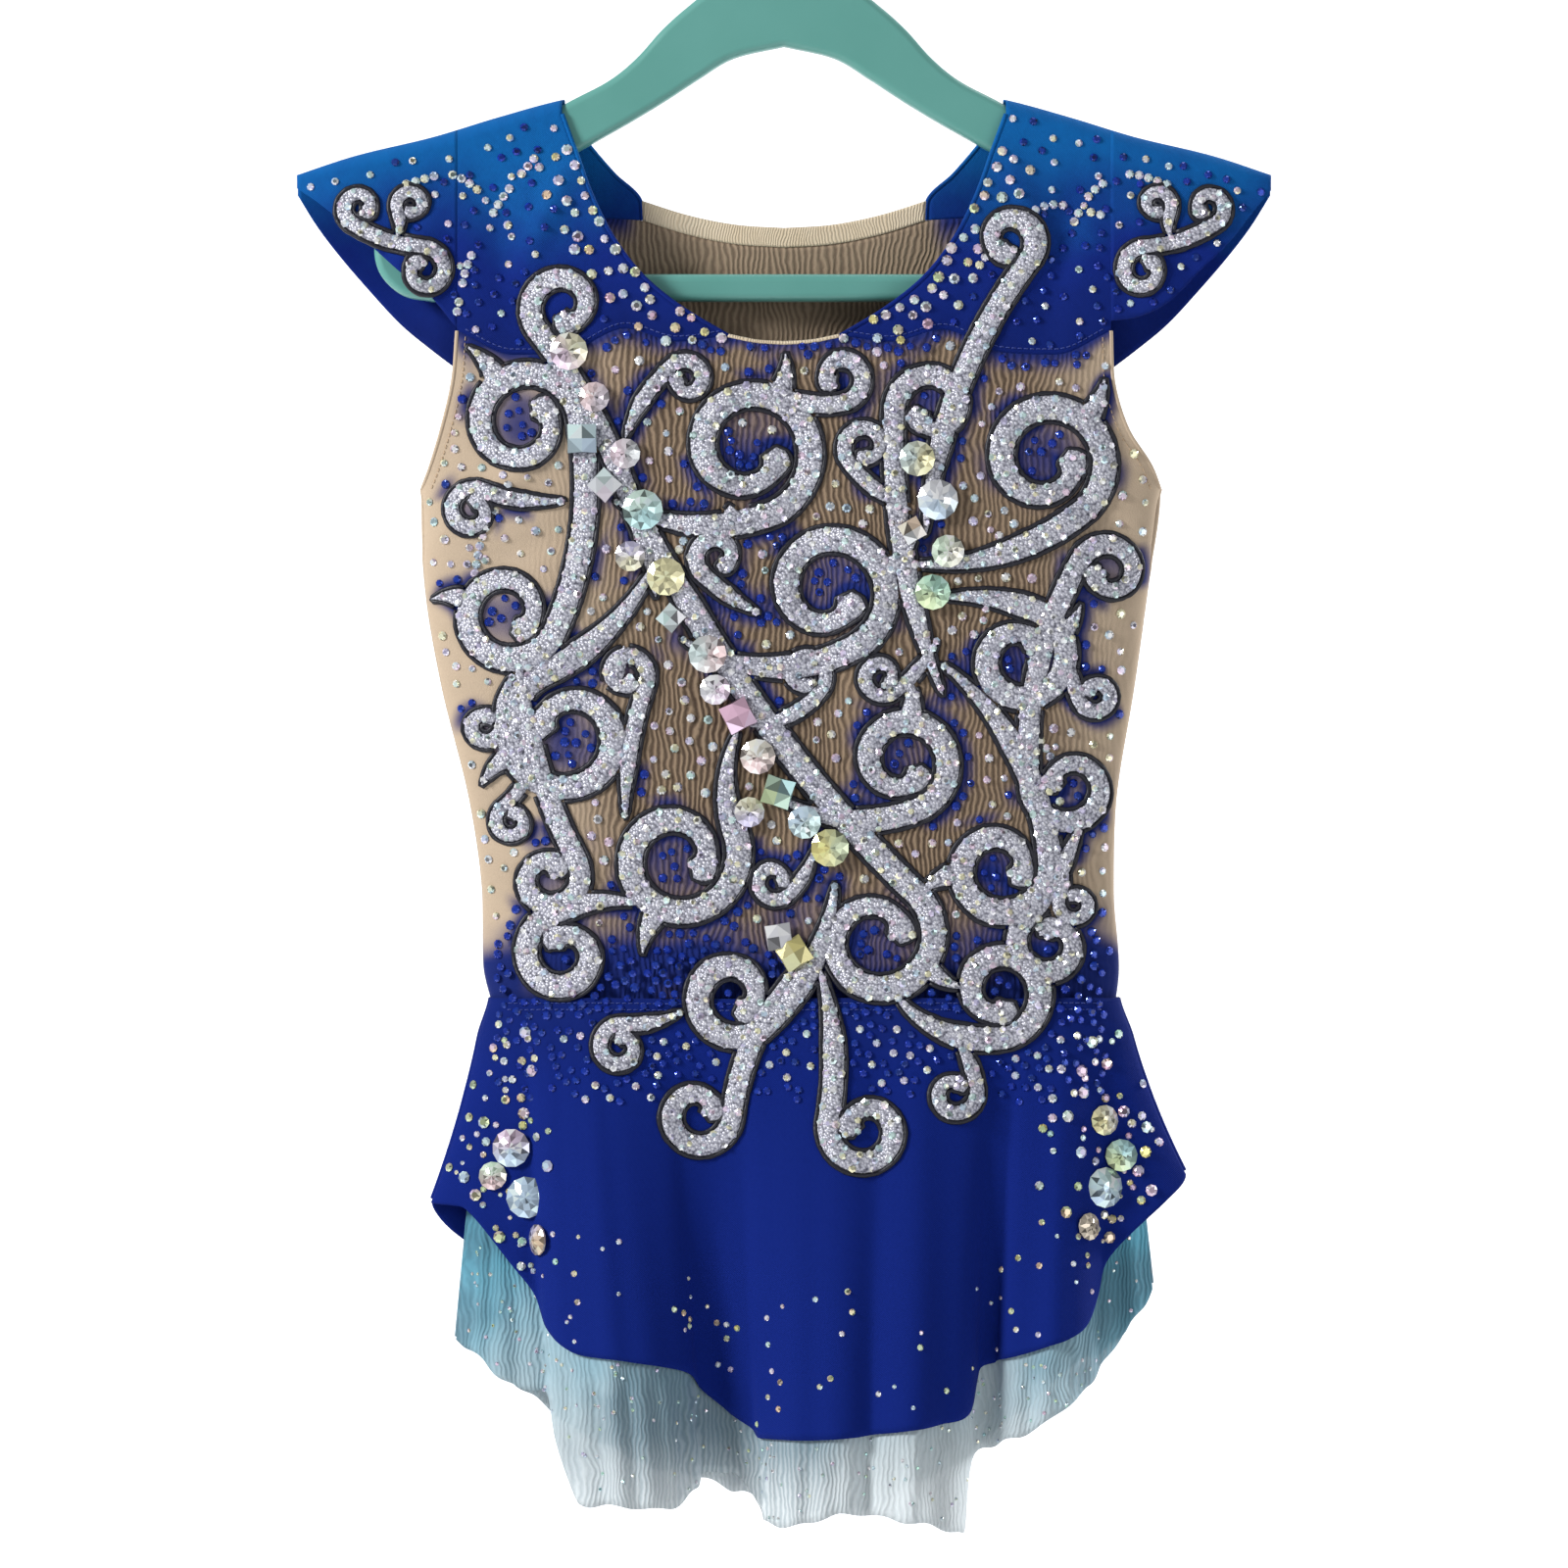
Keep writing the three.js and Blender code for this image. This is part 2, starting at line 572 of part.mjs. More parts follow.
// The skirt grows in straight lines from the waist's section to the fold table's.
function skirtPoint(side, share, z) {
  const waist = bodyLevels[bodyLevels.length - 1];
  const [left, right] = [waist.left - SKIRT_ROOM.side, waist.right + SKIRT_ROOM.side];
  const x = mix(left, right, sideSpread(share));
  const round = Math.sqrt(1 - Math.min(1, Math.abs(x / (x < 0 ? left : right))) ** BLUNT);
  const deep = Math.max(SEAM / 2, (waist.depth + SKIRT_ROOM.depth) * round);
  const grown = (SKIRT_TOP_Z - z) / (SKIRT_TOP_Z - FOLD_Z);
  return point(
    mix(x, read(folds[side], "share", "x", share), grown),
    mix(side * deep, read(folds[side], "share", "y", share), grown),
    z,
  );
}

// The over-skirt's side points swing out beyond the under-skirt.
function overSkirtPoint(side, share, z) {
  const nearSeam = smooth(1 - Math.min(share, 1 - share) / 0.1);
  const reach = Math.max(0, (SKIRT_TOP_Z - z) / (SKIRT_TOP_Z - SIDE_POINT_Z)) ** 1.7;
  const spot = skirtPoint(side, share, z);
  spot.x += nearSeam * reach * (share < 0.5 ? -SIDE_FLARE.left : SIDE_FLARE.right);
  return spot;
}

// Both layers share their rows down to the over-skirt's hem, and the under-skirt runs on from there.
function skirt(side, layer) {
  const columns = side < 0 ? 50 : 30;
  const sharedRows = 5;
  const extraRows = layer === "under" ? 1 : 0;
  const rows = sharedRows + extraRows;
  const place = layer === "under" ? skirtPoint : overSkirtPoint;
  const [thickness, lift] = layer === "under" ? [NET, 0] : [CLOTH, NET + SEAM];
  return wall(
    columns,
    rows,
    (across, up) => {
      const share = side < 0 ? across : 1 - across;
      const row = Math.round(up * rows);
      const over = read(folds[side], "share", "over", share);
      const under = read(folds[side], "share", "under", share);
      const z =
        row < extraRows
          ? mix(under, over, row / extraRows)
          : mix(over, SKIRT_TOP_Z, (row - extraRows) / sharedRows);
      return place(side, share, z);
    },
    thickness,
    lift,
  );
}

// Half of the brief: down from the waist seam, then round under the crotch.
function brief(side) {
  const flatRows = 8;
  const arcRows = 3;
  const rows = flatRows + arcRows;
  const waist = bodyLevels[bodyLevels.length - 1];
  return wall(
    10,
    rows,
    (across, up) => {
      const row = Math.round(up * rows);
      const share = side < 0 ? across : 1 - across;
      if (row < arcRows) {
        const turn = radians((90 * row) / arcRows);
        const { half } = briefLevels[briefLevels.length - 1];
        const y = Math.max(SEAM / 2, CROTCH_R * Math.sin(turn));
        const z = CROTCH_Z - CROTCH_R * Math.cos(turn);
        return point(BRIEF_X + mix(-half, half, share), side * y, z);
      }
      const z = mix(CROTCH_Z, WAIST_Z - SEAM, (row - arcRows) / flatRows);
      const half = read(briefLevels, "z", "half", z);
      const hip = (waist.right - waist.left) / 2;
      const x = mix(-half, half, sideSpread(share));
      const round = Math.sqrt(1 - Math.min(1, Math.abs(x) / hip) ** BLUNT);
      const y = Math.max(SEAM / 2, read(briefLevels, "z", "depth", z) * round);
      return point(BRIEF_X + x, side * y, z);
    },
    CLOTH,
  );
}

// A closed outline from the half in a table: its last row is a straight edge's middle.
function outline(rows, Kind) {
  const half = rows.map((row) => new THREE.Vector2(row.x, row.z));
  const curve = new THREE.SplineCurve(half.slice(0, -1));
  const right = [...curve.getPoints(half.length + 6), half[half.length - 1]];
  const left = right.slice(1, -1).reverse().map((p) => new THREE.Vector2(-p.x, p.y));
  return new Kind([...right.slice(0, -1), ...left].reverse());
}

// Turns a shape drawn in x and z, and extruded, so that it stands upright about the middle plane.
function upright(geometry, half) {
  geometry.translate(0, 0, -half);
  geometry.rotateX(radians(90));
  return geometry;
}

function toSolid(geometry) {
  const bare = geometry.clone();
  bare.deleteAttribute("normal");
  bare.deleteAttribute("uv");
  const merged = mergeVertices(bare, 1e-4);
  return new wasm.Manifold(
    new wasm.Mesh({
      numProp: 3,
      vertProperties: new Float32Array(merged.attributes.position.array),
      triVerts: new Uint32Array(merged.index.array),
    }),
  );
}

function toGeometry({ vertProperties, triVerts }) {
  const geometry = new THREE.BufferGeometry();
  geometry.setAttribute("position", new THREE.Float32BufferAttribute(vertProperties, 3));
  geometry.setIndex(new THREE.BufferAttribute(triVerts, 1));
  geometry.computeVertexNormals();
  return geometry;
}

// The hanger is one moulding: a flat frame of arch, arms and bar, with a round hook.
function hanger() {
  const shape = outline(hangerOutside, THREE.Shape);
  shape.holes.push(outline(hangerInside, THREE.Path));
  const frame = new THREE.ExtrudeGeometry(shape, {
    depth: 2 * (HANGER_HALF - HANGER_EDGE),
    bevelThickness: HANGER_EDGE,
    bevelSize: HANGER_EDGE,
    bevelOffset: -HANGER_EDGE,
    bevelSegments: 2,
  });
  const eyeZ = HOOK_WIRE - HOOK_R;
  const bend = [];
  for (let angle = 205; angle >= -60; angle -= 15) {
    const [across, up] = [Math.cos(radians(angle)), Math.sin(radians(angle))];
    bend.push(point(HOOK_R * across, 0, eyeZ + HOOK_R * up));
  }
  const neck = [point(1.5, 0, eyeZ - 23), point(0, 0, eyeZ - 31), point(0, 0, -64)];
  const wire = new THREE.CatmullRomCurve3([...bend, ...neck], false, "centripetal");
  const ring = [];
  for (let angle = 0; angle < 360; angle += 36) ring.push(flatPoint(radians(angle), HOOK_WIRE));
  const hook = new THREE.ExtrudeGeometry(new THREE.Shape(ring), {
    steps: 36,
    bevelEnabled: false,
    extrudePath: wire,
  });
  const upstanding = upright(frame, HANGER_HALF - HANGER_EDGE);
  return toGeometry(toSolid(upstanding).add(toSolid(hook)).getMesh());
}

// The skirt's half depth on the front at x and z.
function skirtDepth(x, z) {
  let [low, high] = [0, 1];
  for (let round = 0; round < 24; round += 1) {
    const middle = (low + high) / 2;
    if (overSkirtPoint(-1, middle, z).x < x) low = middle;
    else high = middle;
  }
  return -overSkirtPoint(-1, low, z).y;
}

function sleeveFront(x, z) {
  const fold = read(shoulderRidge, "x", "z", Math.abs(x));
  return sleeveDepth(Math.abs(x), fold - z);
}

// A half depth moved out along the surface's own normal.
function movedOut(depth, x, z, out) {
  const step = 0.5;
  const slopeX = (depth(x + step, z) - depth(x - step, z)) / (2 * step);
  const slopeZ = (depth(x, z + step) - depth(x, z - step)) / (2 * step);
  return depth(x, z) + out * Math.min(2, Math.hypot(1, slopeX, slopeZ));
}

// The outermost cloth of the front, moved out: body, sleeve, or skirt below the waist.
function frontDepth(x, z, out) {
  const isSleeve = Math.abs(x) > ARMHOLE_X && z > sleeveStations[0].frontRight;
  if (isSleeve) return movedOut(sleeveFront, x, z, CLOTH + out);
  const body = movedOut(bodyDepth, x, Math.max(z, WAIST_Z), CLOTH + out);
  const climb = smooth((SKIRT_TOP_Z + STEP_HIGH - z) / (STEP_HIGH - STEP_SPARE));
  if (climb === 0) return body;
  const skirtZ = Math.min(z, SKIRT_TOP_Z);
  return mix(body, movedOut(skirtDepth, x, skirtZ, NET + CLOTH + 2 * SEAM + out), climb);
}

// The middle line of a scroll: out of the first curl, along the stem and into the second.
function scrollLine({ x1, z1, r1, t1, x2, z2, r2, t2, bend }) {
  const [first, second] = [new THREE.Vector2(x1, z1), new THREE.Vector2(x2, z2)];
  const bow = radians(bend);
  const rim = (eye, radius, turns, heading) =>
    eye.clone().add(flatPoint(heading - (Math.sign(turns) * Math.PI) / 2, radius));
  let chord = second.clone().sub(first).angle();
  let [leave, arrive] = [first, second];
  for (let pass = 0; pass < 6; pass += 1) {
    leave = rim(first, r1, t1, chord + bow);
    arrive = rim(second, r2, t2, chord - bow);
    chord = arrive.clone().sub(leave).angle();
  }
  const curl = (eye, radius, turns, heading, share) => {
    const angle = heading - (Math.sign(turns) * Math.PI) / 2 + (1 - share) * turns * 2 * Math.PI;
    return eye.clone().add(flatPoint(angle, radius * mix(CURL_EYE, 1, share)));
  };
  const points = [];
  const steps = (turns) => Math.round((Math.abs(turns) * 360) / CURL_STEP);
  for (let k = 0; r1 > 0 && k < steps(t1); k += 1) {
    points.push(curl(first, r1, -t1, chord + bow + Math.PI, k / steps(t1)));
  }
  const reach = leave.distanceTo(arrive);
  const handle = reach / (3 * Math.cos(bow / 2) ** 2);
  const stem = new THREE.CubicBezierCurve(
    leave,
    leave.clone().add(flatPoint(chord + bow, handle)),
    arrive.clone().sub(flatPoint(chord - bow, handle)),
    arrive,
  );
  points.push(...stem.getPoints(Math.max(3, Math.round(reach / 8))));
  for (let k = steps(t2) - 1; r2 > 0 && k >= 0; k -= 1) {
    points.push(curl(second, r2, t2, chord - bow, k / steps(t2)));
  }
  return points;
}

// A flat ribbon along a scroll. Curled ends are blunt, and plain ends taper more.
function ribbon(scroll) {
  const line = scrollLine(scroll);
  const last = line.length - 1;
  const taper = 0.22;
  const end = (radius, share) => mix(radius > 0 ? 0.62 : 0.3, 1, share / taper);
  return wall(
    1,
    last,
    (across, share) => {
      const index = Math.round(share * last);
      const before = line[Math.max(0, index - 1)];
      const after = line[Math.min(last, index + 1)];
      const ahead = after.clone().sub(before).normalize();
      const grown = Math.min(1, end(scroll.r1, share), end(scroll.r2, 1 - share));
      const out = (across - 0.5) * scroll.wide * grown;
      return point(line[index].x + ahead.y * out, line[index].y - ahead.x * out, 0);
    },
    APPLIQUE,
  );
}

// A large stone: a plate that tapers to its flat top.
function stone({ x, z, r, sides }) {
  const plate = new THREE.CylinderGeometry(0.7 * r, r, STONE_HIGH, sides, 1);
  plate.rotateX(radians(90));
  plate.translate(x, z, STONE_HIGH / 2);
  return plate;
}

// Joins flat pieces into one and lays it on the cloth.
function laidOn(pieces, hand) {
  const [first, ...rest] = pieces.map(toSolid);
  const joined = rest.reduce((all, piece) => all.add(piece), first);
  const mesh = joined.getMesh();
  const at = mesh.vertProperties;
  for (let k = 0; k < at.length; k += 3) {
    const [x, z, out] = [hand * at[k], at[k + 1], at[k + 2]];
    at.set([x, -frontDepth(x, z, APPLIQUE_GAP + out), z], k);
  }
  if (hand < 0) mesh.triVerts.reverse();
  return toGeometry(mesh);
}

const finishes = {
  blue: { color: 0x1f3fae, roughness: 0.6, metalness: 0 },
  teal: { color: 0x2a73c4, roughness: 0.6, metalness: 0 },
  nude: { color: 0xc09a6c, roughness: 0.75, metalness: 0 },
  net: { color: 0xb9d4dc, roughness: 0.7, metalness: 0 },
  stones: { color: 0xe6e4ec, roughness: 0.3, metalness: 0.2 },
  plastic: { color: 0x63b39a, roughness: 0.35, metalness: 0 },
};

const group = new THREE.Group();

function add(name, finish, geometry) {
  const mesh = new THREE.Mesh(geometry, new THREE.MeshStandardMaterial(finishes[finish]));
  mesh.name = name;
  group.add(mesh);
}

add("hanger", "plastic", hanger());
add("front_body", "nude", frontBody());
add("back_body", "nude", backBody());
add("neck_band_back", "nude", neckBand());
for (const [name, hand] of [["right", -1], ["left", 1]]) {
  add(`yoke_front_${name}`, "blue", yoke(-1, hand));
  add(`yoke_back_${name}`, "blue", yoke(1, hand));
  add(`sleeve_${name}`, "teal", sleeve(hand));
  add(`applique_sleeve_${name}`, "stones", laidOn(sleeveScrolls.map(ribbon), hand));
}
for (const [name, side] of [["front", -1], ["back", 1]]) {
  add(`brief_${name}`, "blue", brief(side));
  add(`skirt_under_${name}`, "net", skirt(side, "under"));
  add(`skirt_over_${name}`, "blue", skirt(side, "over"));
}
add("applique_front", "stones", laidOn([...frontScrolls.map(ribbon), ...largeStones.map(stone)], 1));

export default group;
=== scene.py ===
# %% [markdown]
# # A rhythmic gymnastics leotard on its hanger
#
# The real thing is stretch cloth and glass. A girl's competition leotard hangs empty on a
# small plastic hanger: a nude mesh body, blue yokes and cap sleeves, a blue skirt over a
# sheer one, and scrolls of glass stones that were glued on by hand.
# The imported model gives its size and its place. Each cloth panel is rebuilt here from the
# same sizes, as a thin sheet with finer folds, and it hides the plain solid it stands for.

import cmath
import math

import bpy
import numpy as np
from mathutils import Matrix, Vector, noise


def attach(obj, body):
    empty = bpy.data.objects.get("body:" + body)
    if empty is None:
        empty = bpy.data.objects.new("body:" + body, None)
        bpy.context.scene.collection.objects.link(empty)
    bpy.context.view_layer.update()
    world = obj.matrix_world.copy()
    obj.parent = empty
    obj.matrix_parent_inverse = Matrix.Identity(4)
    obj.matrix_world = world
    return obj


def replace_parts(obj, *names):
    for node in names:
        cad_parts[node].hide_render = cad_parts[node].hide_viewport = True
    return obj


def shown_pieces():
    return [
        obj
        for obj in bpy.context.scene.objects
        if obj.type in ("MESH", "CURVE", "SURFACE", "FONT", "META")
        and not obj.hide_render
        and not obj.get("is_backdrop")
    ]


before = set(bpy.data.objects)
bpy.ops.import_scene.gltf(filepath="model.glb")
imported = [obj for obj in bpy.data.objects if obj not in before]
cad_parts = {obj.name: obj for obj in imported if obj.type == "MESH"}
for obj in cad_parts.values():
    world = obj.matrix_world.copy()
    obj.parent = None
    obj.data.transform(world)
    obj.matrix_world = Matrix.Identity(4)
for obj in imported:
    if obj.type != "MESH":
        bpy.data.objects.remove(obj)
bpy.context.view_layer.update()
scene = bpy.context.scene
print("nodes in the model:", len(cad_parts))

# %% [markdown]
# ## Where the picture is taken from
#
# The leotard is seen straight from the front and from far away, so that its sides don't
# run together. A long lens three metres off does that. The lens follows from the width
# that has to fill the picture, so nothing is set by eye.

# %% Camera
VIEW_WIDE = 0.616
VIEW_FAR = 3.0
VIEW_HEIGHT = -0.373
SENSOR = 36.0

lens = bpy.data.cameras.new("camera")
lens.sensor_width = SENSOR
lens.lens = SENSOR * VIEW_FAR / VIEW_WIDE
camera = bpy.data.objects.new("camera", lens)
camera.location = (0, -VIEW_FAR, VIEW_HEIGHT)
camera.rotation_euler = (math.radians(90), 0, 0)
scene.collection.objects.link(camera)
scene.camera = camera
print("lens:", round(lens.lens, 1), "mm")

# %% [markdown]
# ## Studio
#
# A pale sweep stands far behind the leotard and runs out deep under it as a floor, so that
# it can be looked at from the back and from below too. Large soft lights keep the shadows
# in the folds gentle, and one stronger light from the upper left grazes the cloth, which
# gives the folds their form. The rear light does the same for the back. The plain colour
# transform keeps the blue as strong as dyed cloth is, where the filmic one would make it
# greyish.


# %% Lights and backdrop
def soft_light(name, place, size, power):
    light = bpy.data.lights.new(name, "AREA")
    light.size = size
    light.energy = power
    lamp = bpy.data.objects.new(name, light)
    lamp.location = place
    aim = Vector((0, 0, VIEW_HEIGHT)) - Vector(place)
    lamp.rotation_euler = aim.to_track_quat("-Z", "Y").to_euler()
    scene.collection.objects.link(lamp)


soft_light("key_light", (-2.2, -1.15, 0.75), 0.7, 76)
soft_light("fill_light", (1.9, -1.7, -0.3), 1.6, 13)
soft_light("back_light", (0.5, 0.5, 1.4), 0.9, 8)
soft_light("rear_light", (2.3, 1.0, 0.6), 0.7, 44)

world = bpy.data.worlds.new("studio")
world.use_nodes = True
sky = world.node_tree.nodes["Background"]
sky.inputs["Color"].default_value = (0.93, 0.96, 1.0, 1)
sky.inputs["Strength"].default_value = 0.27
scene.world = world
scene.view_settings.view_transform = "Standard"


def sweep():
    wall_y, wall_top, floor_y, floor_z, bend, wide = 5.0, 3.5, -6.0, -5.0, 1.4, 7.0
    profile = [(wall_y, wall_top), (wall_y, floor_z + bend)]
    for step in range(1, 13):
        turn = math.radians(7.5 * step)
        y = wall_y - bend + bend * math.cos(turn)
        profile.append((y, floor_z + bend - bend * math.sin(turn)))
    profile.append((floor_y, floor_z))
    points = [(side * wide, y, z) for y, z in profile for side in (-1, 1)]
    count = len(profile)
    faces = [(2 * k, 2 * k + 1, 2 * k + 3, 2 * k + 2) for k in range(count - 1)]
    mesh = bpy.data.meshes.new("backdrop")
    mesh.from_pydata(points, [], faces)
    mesh.shade_smooth()
    paper = bpy.data.materials.new("backdrop_paper")
    paper.use_nodes = True
    shader = paper.node_tree.nodes["Principled BSDF"]
    shader.inputs["Base Color"].default_value = (0.93, 0.93, 0.93, 1)
    shader.inputs["Roughness"].default_value = 0.9
    shader.inputs["Emission Color"].default_value = (0.97, 0.98, 1.0, 1)
    shader.inputs["Emission Strength"].default_value = 0.74
    mesh.materials.append(paper)
    backdrop = bpy.data.objects.new("backdrop", mesh)
    scene.collection.objects.link(backdrop)
    backdrop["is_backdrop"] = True


sweep()

# %% [markdown]
# ## The cut, as short tables
#
# A pattern cutter works from a few measured levels and draws smooth lines through them.
# The tables do the same in millimetres, and `read` draws the line. It is a cubic that
# never swings past a row, which keeps hems and seams free of bulges.

# %% Reading a table
MM = 0.001


def table(columns, *rows):
    return dict(zip(columns.split(), np.array(rows, float).T))


def mix(a, b, share):
    return a + (b - a) * share


def smooth(share):
    held = np.clip(share, 0, 1)
    return held * held * (3 - 2 * held)


def read(rows, by, column, at):
    """A smooth curve through the rows of a table, at any values of one column."""
    order = slice(None) if rows[by][0] < rows[by][-1] else slice(None, None, -1)
    keys, values = rows[by][order], rows[column][order]
    at = np.clip(at, keys[0], keys[-1])
    span, chord = np.diff(keys), np.diff(values) / np.diff(keys)
    i = np.clip(np.searchsorted(keys, at, side="right") - 1, 0, len(span) - 1)

    def held(other):
        limited = np.minimum(np.abs(other + chord) / 2, 3 * np.abs(chord))
        return np.where(other * chord <= 0, 0, np.sign(chord) * limited)

    slope_in = held(np.append(chord[0], chord[:-1]))
    slope_out = held(np.append(chord[1:], chord[-1]))
    slope_in[0], slope_out[-1] = chord[0], chord[-1]
    t = (at - keys[i]) / span[i]
    return (
        (2 * t**3 - 3 * t**2 + 1) * values[i]
        + (t**3 - 2 * t**2 + t) * span[i] * slope_in[i]
        + (3 * t**2 - 2 * t**3) * values[i + 1]
        + (t**3 - t**2) * span[i] * slope_out[i]
    )


# %% Body sizes
CLOTH, NET, SEAM = 1.2, 1.0, 0.3
JERSEY_THICK, NET_THICK, BAND_THICK = 0.7, 0.3, 1.4
HANDS, FACES = ((-1, "right"), (1, "left")), ((-1, "front"), (1, "back"))
SHOULDER_R, SETTLE, BLUNT = 5.2, 45, 3.2
ARMHOLE_X, UNDERARM_Z, WAIST_Z, SKIRT_TOP_Z = 128, -257, -463, -457
SLEEVE_TIP_X, FRONT_SPRAY_Z, BACK_SPRAY_Z = 191, -416, -424
NECK_FOOT, BAND_HALF, BAND_WIDE = 22, 56, 7.7

body_levels = table(
    "z left right depth",
    (-90, -172, 172, 8),
    (-150, -169, 169, 9),
    (-200, -163, 164, 11.5),
    (UNDERARM_Z, -141.5, 147, 14),
    (-296, -140, 142, 14),
    (-334, -133.6, 136.7, 12.5),
    (-380, -122.4, 129.4, 11),
    (-415, -117.5, 128.5, 11),
    (-445, -117, 130.5, 12),
    (WAIST_Z, -112.5, 128.5, 13),
)
side_edges = table(
    "z left right",
    (WAIST_Z, -112.5, 128.5),
    (-445, -117, 130.5),
    (-415, -117.5, 128.5),
    (-380, -122.4, 129.4),
    (-334, -133.6, 136.7),
    (-296, -140, 142),
    (UNDERARM_Z, -141.5, 147),
    (-249, -138.6, 144),
    (-234, -134, 134.5),
    (-215, -129.6, 128.8),
)
shoulder_ridge = table(
    "x z",
    (0, -92),
    (86, -105),
    (112, -112),
    (137, -119.6),
    (169, -127.4),
    (192, -135),
)
front_neck = table(
    "x z",
    (NECK_FOOT, -197.6),
    (41, -186),
    (55.5, -174),
    (67, -159),
    (75.5, -142),
    (82, -124),
    (87, -110.3),
)
front_neck_centre = table("x z", (0, -200.5), (11, -199.8), (NECK_FOOT, -197.6))
back_neck = table(
    "x z",
    (BAND_HALF, -150.9),
    (BAND_HALF + 0.6, -143.2),
    (67, -133),
    (79, -119),
    (86, -110.1),
)
band_line = table("x z", (0, -153.9), (19, -152.6), (38, -148.8), (BAND_HALF, -143.2))
front_yoke_edge = table(
    "x z",
    (NECK_FOOT, -197.6),
    (42, -200),
    (62, -195),
    (84, -204),
    (106, -205),
    (ARMHOLE_X, -195.5),
)
back_yoke_edge = table(
    "x z",
    (BAND_HALF, -150.9),
    (76, -150),
    (96, -160),
    (112, -184),
    (ARMHOLE_X, -210.5),
)
print("body levels:", len(body_levels["z"]))

# %% [markdown]
# ## Creases
#
# Stretch mesh on a flat hanger isn't smooth. It pulls from the armholes towards the
# stones, sags in soft rolls at the waist, and stands up a little beside each heavy scroll.
# Each crease is one row: where it lies, how it is turned, how long, wide and high it is.
# No two are alike. The back gets its own ones, of the same kind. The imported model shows
# only half of their height, and `CREASING` brings thin cloth up to the whole.

# %% Crease tables
front_creases = table(
    "x z turn long wide high",
    (-118, -262, 38, 34, 6, 1.5),
    (-108, -284, 24, 42, 8, -1.2),
    (-98, -322, 8, 30, 7, 1.1),
    (-112, -352, -14, 26, 6, 1.3),
    (-104, -378, 12, 34, 7, -1.0),
    (-92, -402, -6, 46, 6, 1.4),
    (-98, -430, 9, 30, 8, 1.2),
    (-30, -262, 84, 44, 8, 1.0),
    (8, -282, 96, 60, 9, -1.1),
    (30, -330, 88, 48, 7, 0.9),
    (-8, -396, 101, 36, 8, -0.8),
    (72, -424, 5, 40, 6, 1.2),
    (112, -404, -16, 34, 7, 1.5),
    (116, -372, 10, 28, 6, -1.1),
    (120, -340, 21, 30, 7, 1.2),
    (118, -300, -28, 38, 8, 1.3),
    (124, -266, -44, 30, 6, -1.2),
    (60, -206, 62, 30, 7, -1.0),
    (-64, -204, -58, 34, 8, 1.1),
    (108, -166, 78, 34, 7, -1.2),
    (-110, -168, 99, 38, 8, -1.1),
    (-92, -148, 66, 30, 5, 1.0),
    (94, -144, -70, 26, 5, 1.1),
    (-150, -158, 50, 22, 5, -1.0),
    (152, -162, -58, 26, 6, -1.1),
)
back_creases = table(
    "x z turn long wide high",
    (-112, -268, -34, 38, 7, 1.3),
    (-96, -300, -12, 44, 8, -1.1),
    (-104, -346, 16, 30, 6, 1.2),
    (-90, -384, -8, 46, 7, 1.4),
    (-100, -418, 6, 38, 8, -1.2),
    (-40, -214, 82, 48, 9, 1.2),
    (0, -250, 92, 66, 10, -1.3),
    (34, -226, 99, 44, 8, 1.1),
    (10, -352, 4, 60, 9, 1.0),
    (-20, -392, -6, 70, 8, 1.4),
    (26, -430, 8, 56, 9, 1.2),
    (96, -414, -11, 36, 7, 1.4),
    (108, -366, 13, 30, 6, -1.1),
    (112, -322, -18, 36, 8, 1.2),
    (116, -270, 40, 34, 7, 1.4),
    (86, -178, 58, 36, 7, 1.2),
    (-88, -176, -62, 34, 8, -1.1),
    (112, -148, 84, 30, 6, 1.0),
    (-112, -150, 94, 32, 6, 1.0),
)
CREASING = 2.0


def creases(rows, x, z):
    total = np.zeros(np.shape(x))
    for at_x, at_z, turn, long, wide, high in zip(*rows.values()):
        cos, sin = math.cos(math.radians(turn)), math.sin(math.radians(turn))
        along = (x - at_x) * cos + (z - at_z) * sin
        across = (z - at_z) * cos - (x - at_x) * sin
        total += high * np.exp(-((across / wide) ** 2) - (along / long) ** 2)
    return CREASING * total


print("creases:", len(front_creases["x"]), "front,", len(back_creases["x"]), "back")

# %% [markdown]
# ## How deep the empty leotard is
#
# On its hanger the leotard is a flat tube. Its half depth at a place follows from the
# section at that height, which stays flat towards the sides and then closes, and from the
# fold on the shoulder, which is round like the hanger's edge under it.


# %% Depth of body and sleeve
def depth_below(down, radius, full):
    opened = radius + (full - radius) * smooth((down - radius) / SETTLE)
    fold = np.sqrt(np.maximum(0, radius**2 - (radius - np.maximum(0, down)) ** 2))
    return np.where(down >= radius, opened, fold)


def body_depth(x, z, side=-1):
    edge = np.where(x < 0, read(body_levels, "z", "left", z), read(body_levels, "z", "right", z))
    flatness = np.sqrt(1 - np.minimum(1, np.abs(x / edge)) ** BLUNT)
    down = read(shoulder_ridge, "x", "z", np.abs(x)) - z
    full = read(body_levels, "z", "depth", z) * flatness
    crease = creases(front_creases if side < 0 else back_creases, x, z)
    loose = crease * flatness * smooth(down / SETTLE) * smooth((z - WAIST_Z) / 12)
    return np.maximum(SEAM / 2, depth_below(down, SHOULDER_R, full) + loose)


